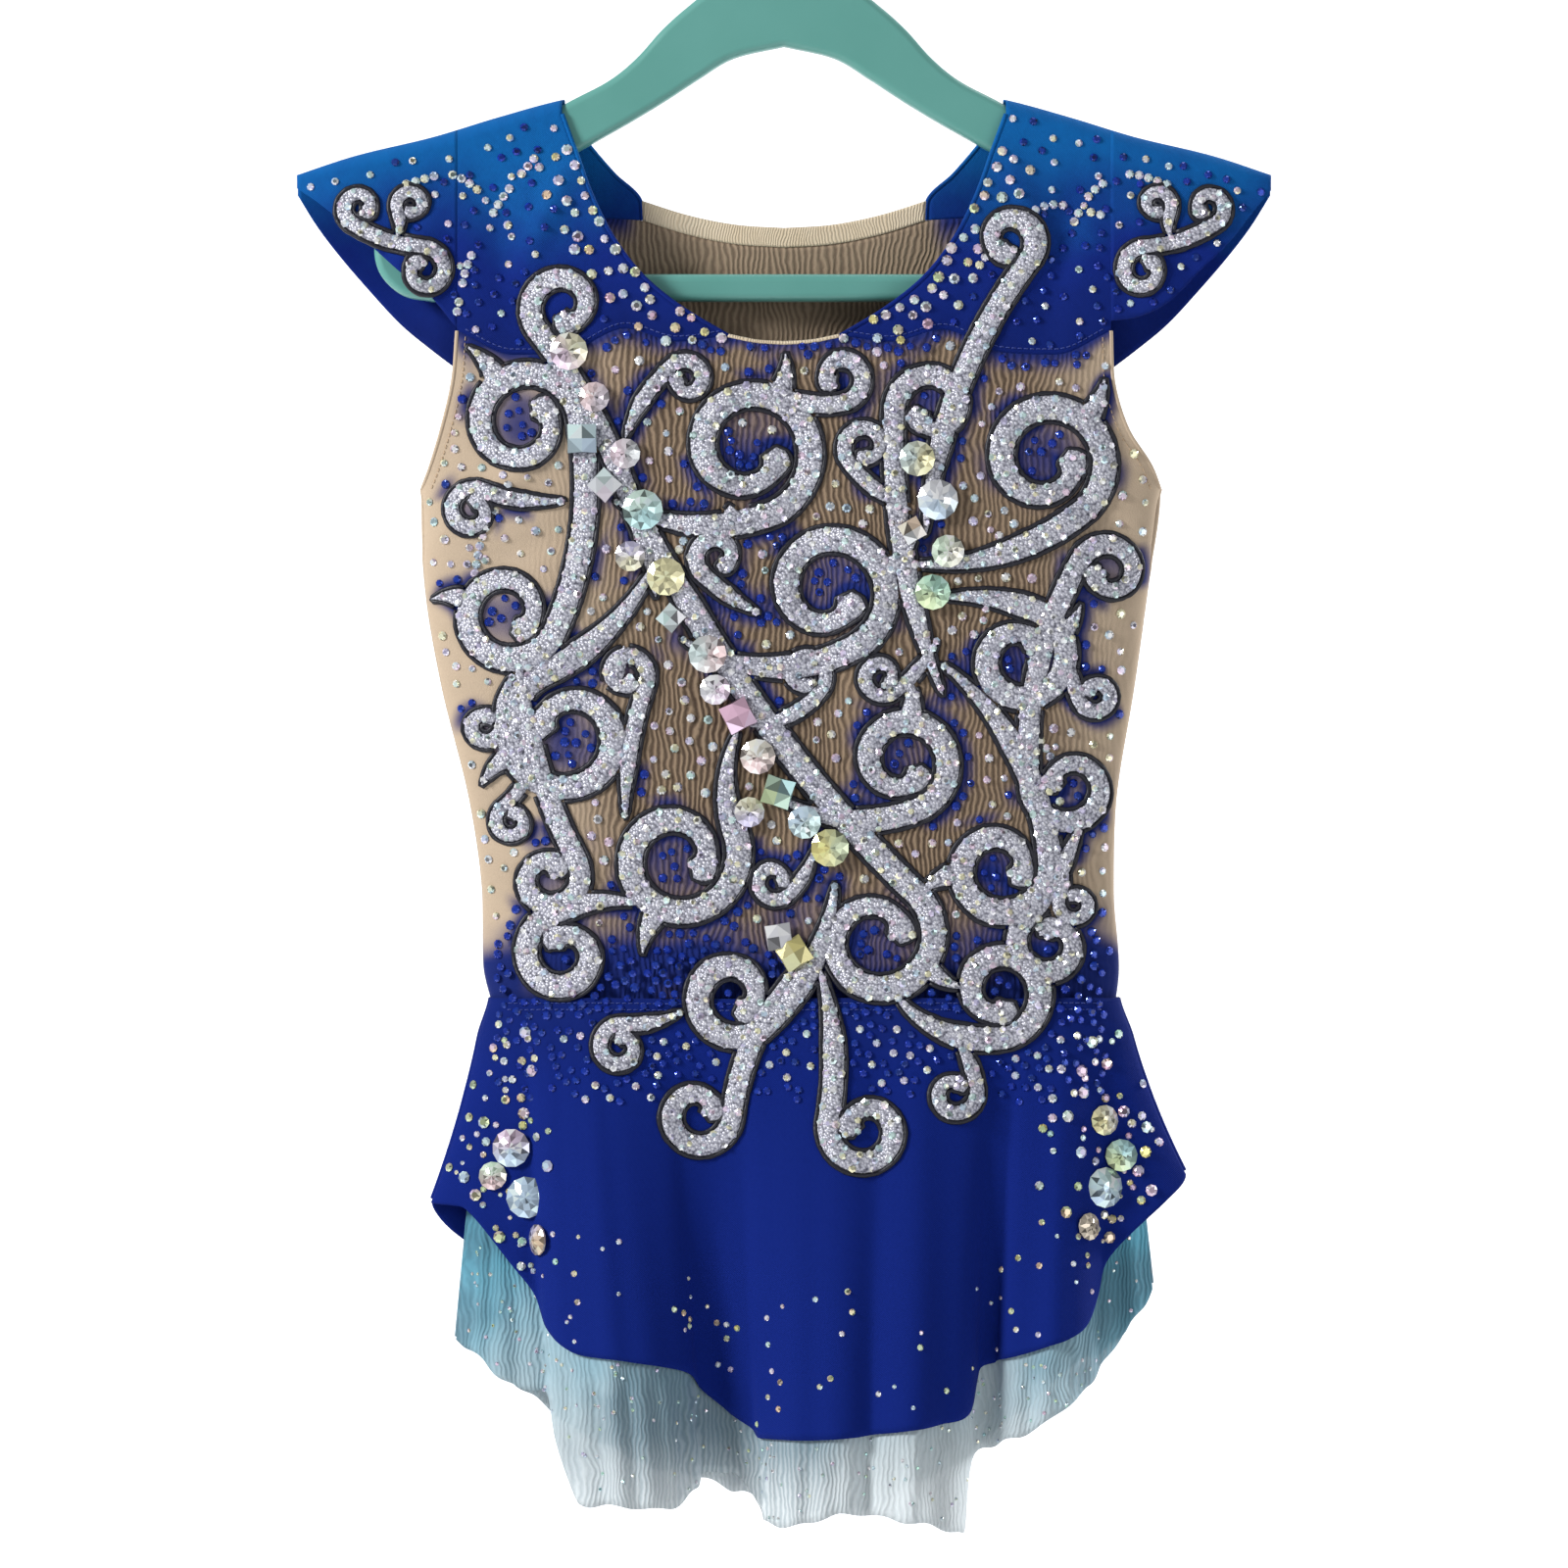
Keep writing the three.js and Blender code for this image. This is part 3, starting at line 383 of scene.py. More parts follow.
sleeve_stations = table(
    "x frontRight frontLeft back radius depth",
    (128, -194.8, -191.6, -210.3, 5.2, 8),
    (139, -181.5, -190, -202, 5.2, 9.5),
    (151, -172, -184, -192, 5.2, 10.5),
    (163, -161, -172, -179, 5, 9.5),
    (175, -151, -160, -165, 4.2, 7),
    (184, -144, -148.5, -153, 3, 4),
    (SLEEVE_TIP_X, -139.2, -140, -141.6, 1.6, 1.7),
)


def sleeve_depth(x, down, side=-1, hand=1):
    """x is the distance from the middle, down the drop from the shoulder's fold."""
    near_z = read(shoulder_ridge, "x", "z", ARMHOLE_X) - down
    near = body_depth(hand * ARMHOLE_X + 0 * x, near_z, side)
    radius = read(sleeve_stations, "x", "radius", x)
    own = depth_below(down, radius, read(sleeve_stations, "x", "depth", x))
    z = read(shoulder_ridge, "x", "z", x) - down
    rows = front_creases if side < 0 else back_creases
    own += creases(rows, hand * x, z) * smooth(down / 20) * smooth((188 - x) / 20)
    return np.maximum(SEAM / 2, mix(near, own, smooth((x - ARMHOLE_X) / 16)))


print("half depth at the chest:", round(float(body_depth(0.0, -260.0)), 1), "mm")

# %% [markdown]
# ## From a rule to a sheet of cloth
#
# Every panel is a grid: one direction runs across the cloth and one along it, and a rule
# gives the place of each crossing. The sheet is moved out to the middle of the solid's
# wall, and a Solidify modifier gives it the thickness that real jersey has.


# %% Sheets
def add_piece(name, points, faces, finish, slot, is_smooth=True):
    mesh = bpy.data.meshes.new(name)
    mesh.from_pydata((np.asarray(points) * MM).tolist(), [], faces)
    if is_smooth:
        mesh.shade_smooth()
    mesh.materials.append(finish)
    piece = bpy.data.objects.new(name, mesh)
    scene.collection.objects.link(piece)
    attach(piece, "root")
    return piece


def grid_faces(columns, rows):
    start = (np.arange(rows)[:, None] * (columns + 1) + np.arange(columns)).ravel()
    corners = [start, start + 1, start + columns + 2, start + columns + 1]
    return np.stack(corners, axis=1).tolist()


def unit(vectors):
    length = np.linalg.norm(vectors, axis=-1, keepdims=True)
    return vectors / np.maximum(length, 1e-9)


def grid_normals(points):
    return unit(np.cross(np.gradient(points, axis=1), np.gradient(points, axis=0)))


grid_columns = {}


def cloth(name, place, size, finish, slot, lift=CLOTH / 2, thick=JERSEY_THICK):
    """place(across, along) gives the points of the solid's inner face."""
    columns, rows = size
    across, along = np.meshgrid(np.linspace(0, 1, columns + 1), np.linspace(0, 1, rows + 1))
    points = np.stack(place(across, along), axis=-1)
    points += lift * grid_normals(points)
    piece = add_piece(name, points.reshape(-1, 3), grid_faces(columns, rows), finish, slot)
    grid_columns[name] = columns
    wall = piece.modifiers.new("wall", "SOLIDIFY")
    wall.thickness = thick * MM
    wall.offset = 0
    area = sum(polygon.area for polygon in piece.data.polygons)
    box = np.ptp(points.reshape(-1, 3), axis=0)
    print(f"{name}: {area:.4f} m2, box {box[0]:.0f} x {box[1]:.0f} x {box[2]:.0f} mm")
    return piece


def patch(lower, upper, left, right):
    """A four-sided patch between edges that give x and z."""

    def place(u, v):
        corners = [lower(0 * u), lower(0 * u + 1), upper(0 * u), upper(0 * u + 1)]
        spot = []
        for axis in (0, 1):
            p00, p10, p01, p11 = (corner[axis] for corner in corners)
            blend = mix(lower(u)[axis], upper(u)[axis], v) + mix(left(v)[axis], right(v)[axis], u)
            spot.append(blend - mix(mix(p00, p10, u), mix(p01, p11, u), v))
        return spot

    return place


def along(xs, zs):
    """A smooth line through points, read by its share of length."""
    lengths = np.append(0, np.cumsum(np.hypot(np.diff(xs), np.diff(zs))))
    rows = {"s": lengths, "x": np.asarray(xs, float), "z": np.asarray(zs, float)}
    return lambda share: [read(rows, "s", axis, share * lengths[-1]) for axis in "xz"]


# %% [markdown]
# ## Shader sums that read like sums
#
# A finish is mostly arithmetic on masks: one minus a mask, a wave times a noise. Wired by
# hand that is hard to follow, so a small class wraps a socket and turns each Python
# operator into a Math node. Colours never go through it, because a Math node would turn
# them grey. They go through Mix nodes.


# %% The wire and the finish
class Wire:
    """A number that varies over the surface."""

    def __init__(self, finish, socket):
        self.finish = finish
        self.socket = socket

    def math(self, operation, *values):
        return self.finish.node("ShaderNodeMath", {"operation": operation}, dict(enumerate(values)))

    def __add__(self, other):
        return self.math("ADD", self, other)

    def __sub__(self, other):
        return self.math("SUBTRACT", self, other)

    def __rsub__(self, other):
        return self.math("SUBTRACT", other, self)

    def __mul__(self, other):
        return self.math("MULTIPLY", self, other)

    def __abs__(self):
        return self.math("ABSOLUTE", self)

    __radd__ = __add__
    __rmul__ = __mul__

    def sin(self):
        return self.math("SINE", self)

    def step(self, low, high):
        """A soft step from 0 at low to 1 at high."""
        sockets = {0: self, 1: low, 2: high}
        return self.finish.node("ShaderNodeMapRange", {"interpolation_type": "SMOOTHSTEP"}, sockets)


class Finish:
    """A material whose nodes are added by name."""

    def __init__(self, name, **constants):
        self.material = bpy.data.materials.new(name)
        self.material.use_nodes = True
        self.tree = self.material.node_tree
        self.shader = self.tree.nodes["Principled BSDF"]
        for socket, value in constants.items():
            self.shader.inputs[socket.replace("_", " ")].default_value = value

    def node(self, kind, settings=None, sockets=None, out=0):
        made = self.tree.nodes.new(kind)
        for setting, value in (settings or {}).items():
            if setting == "stops":
                self.set_stops(made.color_ramp, value)
            else:
                setattr(made, setting, value)
        for socket, value in (sockets or {}).items():
            if isinstance(value, Wire):
                self.tree.links.new(value.socket, made.inputs[socket])
            else:
                made.inputs[socket].default_value = value
        return Wire(self, made.outputs[out])

    def set_stops(self, ramp, stops):
        while len(ramp.elements) < len(stops):
            ramp.elements.new(1)
        for element, (position, colour) in zip(ramp.elements, stops):
            element.position = position
            element.color = colour

    def blend(self, factor, a, b, kind="MIX"):
        settings = {"data_type": "RGBA", "blend_type": kind}
        return self.node("ShaderNodeMix", settings, {0: factor, 6: a, 7: b}, out=2)

    def place(self):
        """The object's own x, y and z, and the whole vector."""
        whole = self.node("ShaderNodeTexCoord", out=3)
        split = [self.node("ShaderNodeSeparateXYZ", {}, {0: whole}, out=k) for k in range(3)]
        return [*split, whole]

    def clouds(self, vector, scale, detail=2.0):
        sockets = {"Vector": vector, "Scale": scale, "Detail": detail}
        return self.node("ShaderNodeTexNoise", {}, sockets)

    def feed(self, socket, value):
        self.tree.links.new(value.socket, self.shader.inputs[socket])

    def bump(self, height, distance, strength=1.0):
        sockets = {"Height": height, "Distance": distance, "Strength": strength}
        self.feed("Normal", self.node("ShaderNodeBump", {}, sockets))


# %% [markdown]
# ## Nude stretch mesh
#
# The mesh is beige and nearly smooth where it is pulled tight at the sides. In the middle
# it relaxes into fine ribs that run down its length. There the shade of the dark hollow
# behind it is painted into its colour as a browner tan, and painted shade darkens the
# hollows between the ribs. The ribs are a sine of the distance across, made wavy by noise.
# The navy spray in the curls of the scrolls is read from an attribute of the mesh.

# %% Nude mesh and golden band
BEIGE = (0.60, 0.47, 0.34, 1)
# Painted shade: the browner tan stands for the dark hollow behind the loose middle.
HOLLOW_SHADE_TAN = (0.33, 0.235, 0.155, 1)
# Painted shade for the hollows between the ribs.
RIB_SHADE = (0.05, 0.03, 0.02, 1)
NAVY = (0.006, 0.018, 0.15, 1)
RIB_WIDE = 0.0024


def ribs(finish, x, whole, wide):
    """Wavy lines that run down the cloth, from 0 to 1."""
    wobble = finish.clouds(whole, 34.0, 2.0) * 0.014 + finish.clouds(whole, 190.0, 2.0) * 0.0022
    return (((x + wobble) * (2 * math.pi / wide)).sin() + 1) * 0.5


def nude_mesh(name, slack_and_shade, middle_x):
    """The second argument is how loose the cloth hangs about middle_x, from 0 to 1, and so how deep
    its ribs are and how much painted shade lies there.
    """
    finish = Finish(name, Roughness=0.85, Sheen_Weight=0.1, Specular_IOR_Level=0.15)
    x, _, z, whole = finish.place()
    drift = finish.clouds(whole, 14.0) * 0.03 - 0.015
    middle = (1 - (abs(x + drift - middle_x)).step(0.07, 0.122)) * slack_and_shade
    lines = ribs(finish, x, whole, RIB_WIDE)
    knit = finish.clouds(whole, 2600.0, 1.0)
    # Painted shade: the loose middle takes the tan of the dark hollow showing through.
    colour = finish.blend(middle, BEIGE, HOLLOW_SHADE_TAN)
    strength = middle * (0.35 + finish.clouds(whole, 24.0, 2.0) * 0.8)
    # Painted shade darkens the hollows between the ribs, most in the loose middle, over the fine
    # darker grain of the knit.
    shade = (1 - lines) * strength + (1 - knit) * 0.14
    colour = finish.blend(shade.math("MINIMUM", shade, 0.9), colour, RIB_SHADE)
    spray = finish.node("ShaderNodeAttribute", {"attribute_name": "spray"}, {}, out=2)
    finish.feed("Base Color", finish.blend(spray, colour, NAVY))
    finish.bump(lines * middle + knit * 0.35, 0.0006, 0.8)
    return finish.material


front_mesh = nude_mesh("nude_mesh_front", 0.95, 0.019)
back_mesh = nude_mesh("nude_mesh_back", 0.62, 0.007)


def golden_band():
    finish = Finish("golden_band", Roughness=0.6, Sheen_Weight=0.3)
    x, _, z, whole = finish.place()
    lines = ribs(finish, x, whole, 0.0011)
    wear_and_shade = finish.clouds(whole, 60.0, 3.0)
    colour = finish.blend(wear_and_shade, (0.66, 0.52, 0.34, 1), (0.80, 0.70, 0.54, 1))
    finish.feed("Base Color", finish.blend(lines * 0.25, colour, (0.4, 0.25, 0.1, 1)))
    finish.bump(lines, 0.0003, 0.6)
    return finish.material


band_cloth = golden_band()
print("finishes:", front_mesh.name, back_mesh.name, band_cloth.name)

# %% [markdown]
# ## Sprayed blue jersey
#
# The yokes and sleeves are dyed white cloth: azure at the shoulder and royal blue below,
# sprayed by hand, so the border between the two is cloudy. The skirt is royal blue all
# over and only a little darker towards its top. Jersey has tiny columns of knit stitches,
# which give it a soft sheen.

# %% Blue jersey
AZURE = (0.003, 0.14, 0.45, 1)
ROYAL = (0.004, 0.022, 0.23, 1)
MIDNIGHT = (0.003, 0.01, 0.1, 1)


def knit_bump(finish, x, z, whole):
    columns = (x * (2 * math.pi / 0.0009)).sin()
    loops = (z * (2 * math.pi / 0.0007)).sin()
    finish.bump(columns * loops * 0.5 + finish.clouds(whole, 900.0), 0.00025, 0.7)


def shoulder_jersey(name):
    finish = Finish(name, Roughness=0.7, Sheen_Weight=0.03, Specular_IOR_Level=0.08)
    x, _, z, whole = finish.place()
    cloudy = finish.clouds(whole, 26.0, 3.0) * 0.06 - 0.03
    below = (0 - z + cloudy).step(0.118, 0.168)
    far_below = (0 - z + cloudy).step(0.165, 0.215)
    colour = finish.blend(below, AZURE, ROYAL)
    colour = finish.blend(far_below * 0.6, colour, MIDNIGHT)
    colour = finish.blend(finish.clouds(whole, 300.0) * 0.25, colour, MIDNIGHT)
    finish.feed("Base Color", colour)
    knit_bump(finish, x, z, whole)
    return finish.material


def skirt_jersey():
    finish = Finish("skirt_jersey", Roughness=0.7, Sheen_Weight=0.02, Specular_IOR_Level=0.06)
    x, _, z, whole = finish.place()
    cloudy = finish.clouds(whole, 18.0, 2.0) * 0.04 - 0.02
    top = 1 - (0 - z + cloudy).step(0.452, 0.492)
    colour = finish.blend(top * 0.7, (0.004, 0.018, 0.2, 1), NAVY)
    finish.feed("Base Color", colour)
    knit_bump(finish, x, z, whole)
    return finish.material


shoulder_cloth = shoulder_jersey("shoulder_jersey")
skirt_cloth = skirt_jersey()
print("finishes:", shoulder_cloth.name, skirt_cloth.name)

# %% [markdown]
# ## Sheer net
#
# The under-skirt is net that was dipped in turquoise at its top and left white at its
# hem. One layer lets about a fifth of the light through, which makes it paler where only
# the wall is behind it and darker over the blue back skirt. Alpha gives that, and it
# varies a little with the ribs of the net. Cloudy patches of painted shade darken it as
# its folds would, and painted shade lies in the lines between its ribs.


# %% Sheer net
def sheer_net():
    finish = Finish("sheer_net", Roughness=0.8, Sheen_Weight=0.1, Specular_IOR_Level=0.1)
    x, _, z, whole = finish.place()
    cloudy = finish.clouds(whole, 16.0, 3.0) * 0.09 - 0.045
    low = (0 - z + cloudy).step(0.548, 0.632)
    wear_and_shade = finish.clouds(whole, 13.0, 3.0).step(0.47, 0.62)
    lines = ribs(finish, x, whole, 0.0019)
    colour = finish.blend(low, (0.12, 0.42, 0.56, 1), (0.58, 0.66, 0.69, 1))
    # Painted shade: cloudy darker patches, as in the folds of the net.
    colour = finish.blend(wear_and_shade * 0.62, colour, (0.1, 0.2, 0.27, 1))
    colour = finish.blend((0 - z).step(0.622, 0.656), colour, (0.8, 0.86, 0.88, 1))
    # Painted shade in the lines between the net's ribs, deeper in the shaded patches.
    colour = finish.blend((1 - lines) * (0.08 + wear_and_shade * 0.3), colour, (0.07, 0.18, 0.24, 1))
    finish.feed("Base Color", colour)
    finish.feed("Alpha", 0.74 + lines * 0.12)
    finish.bump(lines, 0.0004, 0.7)
    return finish.material


net_cloth = sheer_net()
print("finish:", net_cloth.name)

# %% [markdown]
# ## Front and back
#
# The two body panels run from the waist seam up round the armholes to the yokes. The top
# edge is the lower edge of the yokes with the neck's edge between them. Columns stand
# closer together at the side seams, where the tube turns most.


# %% Body panels
def spread(share):
    return 1 - (1 - share) ** 1.6


def side_spread(share):
    half = spread(np.abs(2 * share - 1))
    return np.where(share < 0.5, (1 - half) / 2, (1 + half) / 2)


def panel_top(foot, yoke_share, centre_edge):
    """The top edge: a yoke's share of the columns, the middle, and the other yoke."""
    start = foot["x"][0]

    def top(share):
        from_side = np.minimum(share, 1 - share)
        yoke_x = mix(start, ARMHOLE_X, spread(np.clip(1 - from_side / yoke_share, 0, 1)))
        middle = np.clip((share - yoke_share) / (1 - 2 * yoke_share), 0, 1)
        middle_x = mix(-start, start, middle)
        is_yoke = from_side <= yoke_share
        x = np.where(is_yoke, np.where(share < 0.5, -yoke_x, yoke_x), middle_x)
        edge_z = read(foot, "x", "z", np.abs(x))
        return [x, np.where(is_yoke, edge_z, centre_edge(np.abs(x)))]

    return top


def body_panel(side, top):
    def edge(name, corner):
        xs = np.append(side_edges[name], corner[0])
        return along(xs, np.append(side_edges["z"], corner[1]))

    ends = [[float(value) for value in top(np.array(share))] for share in (0.0, 1.0)]
    waist = [side_edges["left"][0], side_edges["right"][0]]

    def lower(u):
        return [mix(*waist, side_spread(u)), WAIST_Z + 0 * u]

    shape = patch(lower, top, edge("left", ends[0]), edge("right", ends[1]))

    def place(across, up):
        x, z = shape(across if side < 0 else 1 - across, up)
        return x, side * body_depth(x, z, side), z

    return place


front_top = panel_top(front_yoke_edge, 7 / 18, lambda x: read(front_neck_centre, "x", "z", x))
back_top = panel_top(back_yoke_edge, 7 / 22, lambda x: read(band_line, "x", "z", x) - BAND_WIDE)
front_shape, back_shape = body_panel(-1, front_top), body_panel(1, back_top)
front_body = cloth("front_body_cloth", front_shape, (170, 160), front_mesh, "nude_mesh")
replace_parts(front_body, "front_body")
back_body = cloth("back_body_cloth", back_shape, (150, 160), back_mesh, "nude_mesh")
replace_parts(back_body, "back_body")

# %% [markdown]
# ## Yokes, neck band and sleeves
#
# A yoke rises from its lower edge and rolls over the shoulder to the fold line, where the
# front one meets the back one. A cap sleeve is a single piece folded over that line, an
# upturned U that gets narrower towards its tip, and the arm goes out below it.


# %% Yokes and neck band
def yoke(side, hand):
    neck, foot = (front_neck, front_yoke_edge) if side < 0 else (back_neck, back_yoke_edge)

    def lower(u):
        x = mix(foot["x"][0], ARMHOLE_X, spread(u))
        return [x, read(foot, "x", "z", x)]

    def fold(u, down):
        x = mix(neck["x"][-1], ARMHOLE_X, spread(u))
        return [x, read(shoulder_ridge, "x", "z", x) - down]

    crown = [float(value) for value in fold(np.array(0.0), SHOULDER_R)]
    neck_line = along(np.append(neck["x"][:-1], crown[0]), np.append(neck["z"][:-1], crown[1]))
    (low_x, low_z), (high_x, high_z) = lower(np.array(1.0)), fold(np.array(1.0), SHOULDER_R)

    def armhole(v):
        return [mix(low_x, high_x, v), mix(low_z, high_z, v)]

    shape = patch(lower, lambda u: fold(u, SHOULDER_R), neck_line, armhole)
    flat_share = 0.78

    def place(across, up):
        u = 1 - across if side * hand > 0 else across
        flat = shape(u, np.minimum(1, up / flat_share))
        turn = np.radians(90) * np.maximum(0, up - flat_share) / (1 - flat_share)
        rolled = fold(u, SHOULDER_R * (1 - np.sin(turn)))
        x, z = (np.where(up <= flat_share, *pair) for pair in zip(flat, rolled))
        return hand * x, side * body_depth(hand * x, z, side), z

    return place


def neck_band(across, up):
    x = mix(BAND_HALF, -BAND_HALF, across)
    z = read(band_line, "x", "z", np.abs(x)) - BAND_WIDE * (1 - up)
    return x, body_depth(x, z, 1), z


for hand, name in HANDS:
    for side, face in FACES:
        node = f"yoke_{face}_{name}"
        piece = cloth(f"{node}_cloth", yoke(side, hand), (44, 60), shoulder_cloth, "blue_jersey")
        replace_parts(piece, node)

band = cloth("neck_band_cloth", neck_band, (60, 8), band_cloth, "golden_band", thick=BAND_THICK)
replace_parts(band, "neck_band_back")


# %% Cap sleeves
def sleeve(hand):
    front = "frontRight" if hand < 0 else "frontLeft"
    leg_share = 0.62

    def place(across, around):
        x = mix(ARMHOLE_X, SLEEVE_TIP_X, across if hand > 0 else 1 - across)
        side = np.where(around <= 0.5, -1, 1)
        from_edge = 2 * np.minimum(around, 1 - around)
        ridge = read(shoulder_ridge, "x", "z", x)
        edge = [read(sleeve_stations, "x", column, x) for column in (front, "back")]
        low = ridge - np.where(side < 0, *edge)
        roll = np.minimum(low, read(sleeve_stations, "x", "radius", x))
        turn = np.radians(90) * np.maximum(0, from_edge - leg_share) / (1 - leg_share)
        leg = mix(low, roll, np.minimum(1, from_edge / leg_share))
        down = np.where(from_edge <= leg_share, leg, roll * (1 - np.sin(turn)))
        depth = [sleeve_depth(x, down, face, hand) for face in (-1, 1)]
        return hand * x, side * np.where(side < 0, *depth), ridge - down

    return place


for hand, name in HANDS:
    piece = cloth(f"sleeve_{name}_cloth", sleeve(hand), (40, 90), shoulder_cloth, "blue_jersey")
    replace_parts(piece, f"sleeve_{name}")

# %% [markdown]
# ## The skirts
#
# Both skirts are cut as part of a circle, so they are as wide as the waist at the top and
# much wider at the hem, and the spare width falls into folds. The folds stay where the
# cloth was sewn, so they are listed in a table, seen from above at hem level, and
# grow in straight lines from nothing at the waist. A second table adds the softer dents
# between them, and small waves run along the free hems.

# %% Skirt tables
FOLD_Z, SIDE_POINT_Z = -640, -532
SIDE_FLARE = {"left": 12, "right": 19}
SKIRT_ROOM = {"side": 3.2, "depth": 2.5}
front_folds = table(
    "x y over under",
    (-133, -0.2, -538, -592),
    (-121, -10, -539, -598),
    (-103, -13, -563, -609),
    (-91, -15, -576, -612),
    (-88, -24, -586, -628),
    (-80, -34, -594, -652),
    (-62, -37.5, -597, -654),
    (-44, -33.5, -600, -653),
    (-35, -24, -603, -648),
    (-32, -14.5, -609, -643),
    (-21, -11.5, -618, -641),
    (-10, -14.5, -625, -656),
    (-7, -25, -628, -661),
    (6, -36, -628, -660),
    (33, -40, -626, -656),
    (59, -36, -622, -662),
    (70, -26, -618, -664),
    (73, -16, -602, -637),
    (81, -14, -599, -633),
    (86, -23, -597, -629),
    (102, -31, -592, -621),
    (116, -27, -585, -611),
    (121, -18.5, -573, -604),
    (124, -12, -560, -600),
    (140, -8.5, -538, -584),
    (152, -0.2, -527, -571),
)
back_folds = table(
    "x y over under",
    (-133, 0.2, -538, -592),
    (-117, 11, -556, -602),
    (-96, 24, -580, -618),
    (-70, 31, -604, -636),
    (-48, 18, -622, -644),
    (-24, 17, -634, -650),
    (0, 31, -643, -660),
    (26, 33, -641, -662),
    (48, 18, -630, -652),
    (70, 17, -614, -640),
    (92, 29, -590, -622),
    (114, 26, -562, -604),
    (138, 11, -541, -588),
    (152, 0.2, -527, -571),
)
for rows in (front_folds, back_folds):
    steps = np.hypot(np.diff(rows["x"]), np.diff(rows["y"]))
    rows["share"] = np.append(0, np.cumsum(steps)) / steps.sum()
folds = {-1: front_folds, 1: back_folds}
front_dents = table(
    "share high wide",
    (0.19, -2.2, 0.018),
    (0.24, 1.6, 0.014),
    (0.53, 1.8, 0.017),
    (0.578, -3.6, 0.021),
    (0.625, 2.4, 0.018),
    (0.83, 1.6, 0.012),
    (0.87, -2.0, 0.015),
)
back_dents = table(
    "share high wide",
    (0.14, 1.8, 0.016),
    (0.22, -2.6, 0.021),
    (0.36, 2.2, 0.019),
    (0.51, -3.2, 0.026),
    (0.66, 2.0, 0.018),
    (0.79, -2.4, 0.02),
)
dents = {-1: front_dents, 1: back_dents}
print("folds:", {side: len(rows["x"]) for side, rows in folds.items()})


# %% Skirt panels
def skirt_point(side, share, z, flare):
    let_out = mix(0.35, 1, smooth((SKIRT_TOP_Z - z) / 16))
    left = body_levels["left"][-1] - SKIRT_ROOM["side"] * let_out
    right = body_levels["right"][-1] + SKIRT_ROOM["side"] * let_out
    x = mix(left, right, side_spread(share))
    flatness = np.sqrt(1 - np.minimum(1, np.abs(x / np.where(x < 0, left, right))) ** BLUNT)
    waist_depth = body_levels["depth"][-1] + SKIRT_ROOM["depth"] * mix(0.5, 1, let_out)
    deep = np.maximum(SEAM / 2, waist_depth * flatness)
    grown = (SKIRT_TOP_Z - z) / (SKIRT_TOP_Z - FOLD_Z)
    near_seam = smooth(1 - np.minimum(share, 1 - share) / 0.1)
    reach = np.maximum(0, (SKIRT_TOP_Z - z) / (SKIRT_TOP_Z - SIDE_POINT_Z)) ** 1.7
    out = np.where(share < 0.5, -SIDE_FLARE["left"], SIDE_FLARE["right"])
    x = mix(x, read(folds[side], "share", "x", share), grown) + flare * near_seam * reach * out
    y = mix(side * deep, read(folds[side], "share", "y", share), grown)
    return x, y, z


def ruffle(side, layer, share, z):
    """Soft dents and small waves that grow towards the hem. The net's free edge has its own."""
    grown = np.clip((SKIRT_TOP_Z - z) / (SKIRT_TOP_Z - FOLD_Z), 0, 1.2) ** 1.5
    wave = np.sin(82 * share + 2.1 * np.sin(9 * share + 1.4)) + 0.5 * np.sin(139 * share + 0.6)
    depth = 0.8 * wave * grown
    for at, high, wide in zip(*dents[side].values()):
        depth = depth + high * np.sqrt(grown) * np.exp(-(((share - at) / wide) ** 2))
    if layer == "under":
        free = smooth((read(folds[side], "share", "over", share) - z) / 14)
        depth = depth + 0.9 * free * np.sin(171 * share + 1.5 * np.sin(23 * share))
    return side * depth * smooth(np.minimum(share, 1 - share) / 0.05)


def layer_point(side, layer, share, z):
    x, y, z = skirt_point(side, share, z, 1 if layer == "over" else 0)
    return x, y + ruffle(side, layer, share, z), z


def skirt(side, layer):
    def place(across, up):
        share = across if side < 0 else 1 - across
        hem = read(folds[side], "share", layer, share)
        if layer == "under":
            hem = hem + 0.9 * np.sin(61 * share) + 0.7 * np.sin(137 * share + 2)
        return layer_point(side, layer, share, mix(hem, SKIRT_TOP_Z, up))

    return place


skirt_pieces = {}
for side, face in FACES:
    columns = 230 if side < 0 else 170
    for layer, finish, slot, lift, thick in (
        ("under", net_cloth, "sheer_net", NET / 2, NET_THICK),
        ("over", skirt_cloth, "blue_jersey", NET + SEAM + CLOTH / 2, JERSEY_THICK),
    ):
        node = f"skirt_{layer}_{face}"
        piece = cloth(f"{node}_cloth", skirt(side, layer), (columns, 56), finish, slot, lift, thick)
        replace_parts(piece, node)
        skirt_pieces[node] = piece

# %% [markdown]
# ## The brief
#
# Under the skirts the leotard ends as a brief, cut high at the legs and closed under the
# crotch. It doesn't show from the front, but it does from below.

# %% Brief
BRIEF_X, CROTCH_Z, CROTCH_R = 8, -602, 8
brief_levels = table(
    "z half depth",
    (WAIST_Z, 120.5, 13),
    (-478, 121, 11.2),
    (-492, 117, 9.5),
    (-508, 95, 8.5),
    (-530, 66, 8),
    (-556, 43, 8),
    (-580, 33, 8),
    (CROTCH_Z, 31, 8),
)


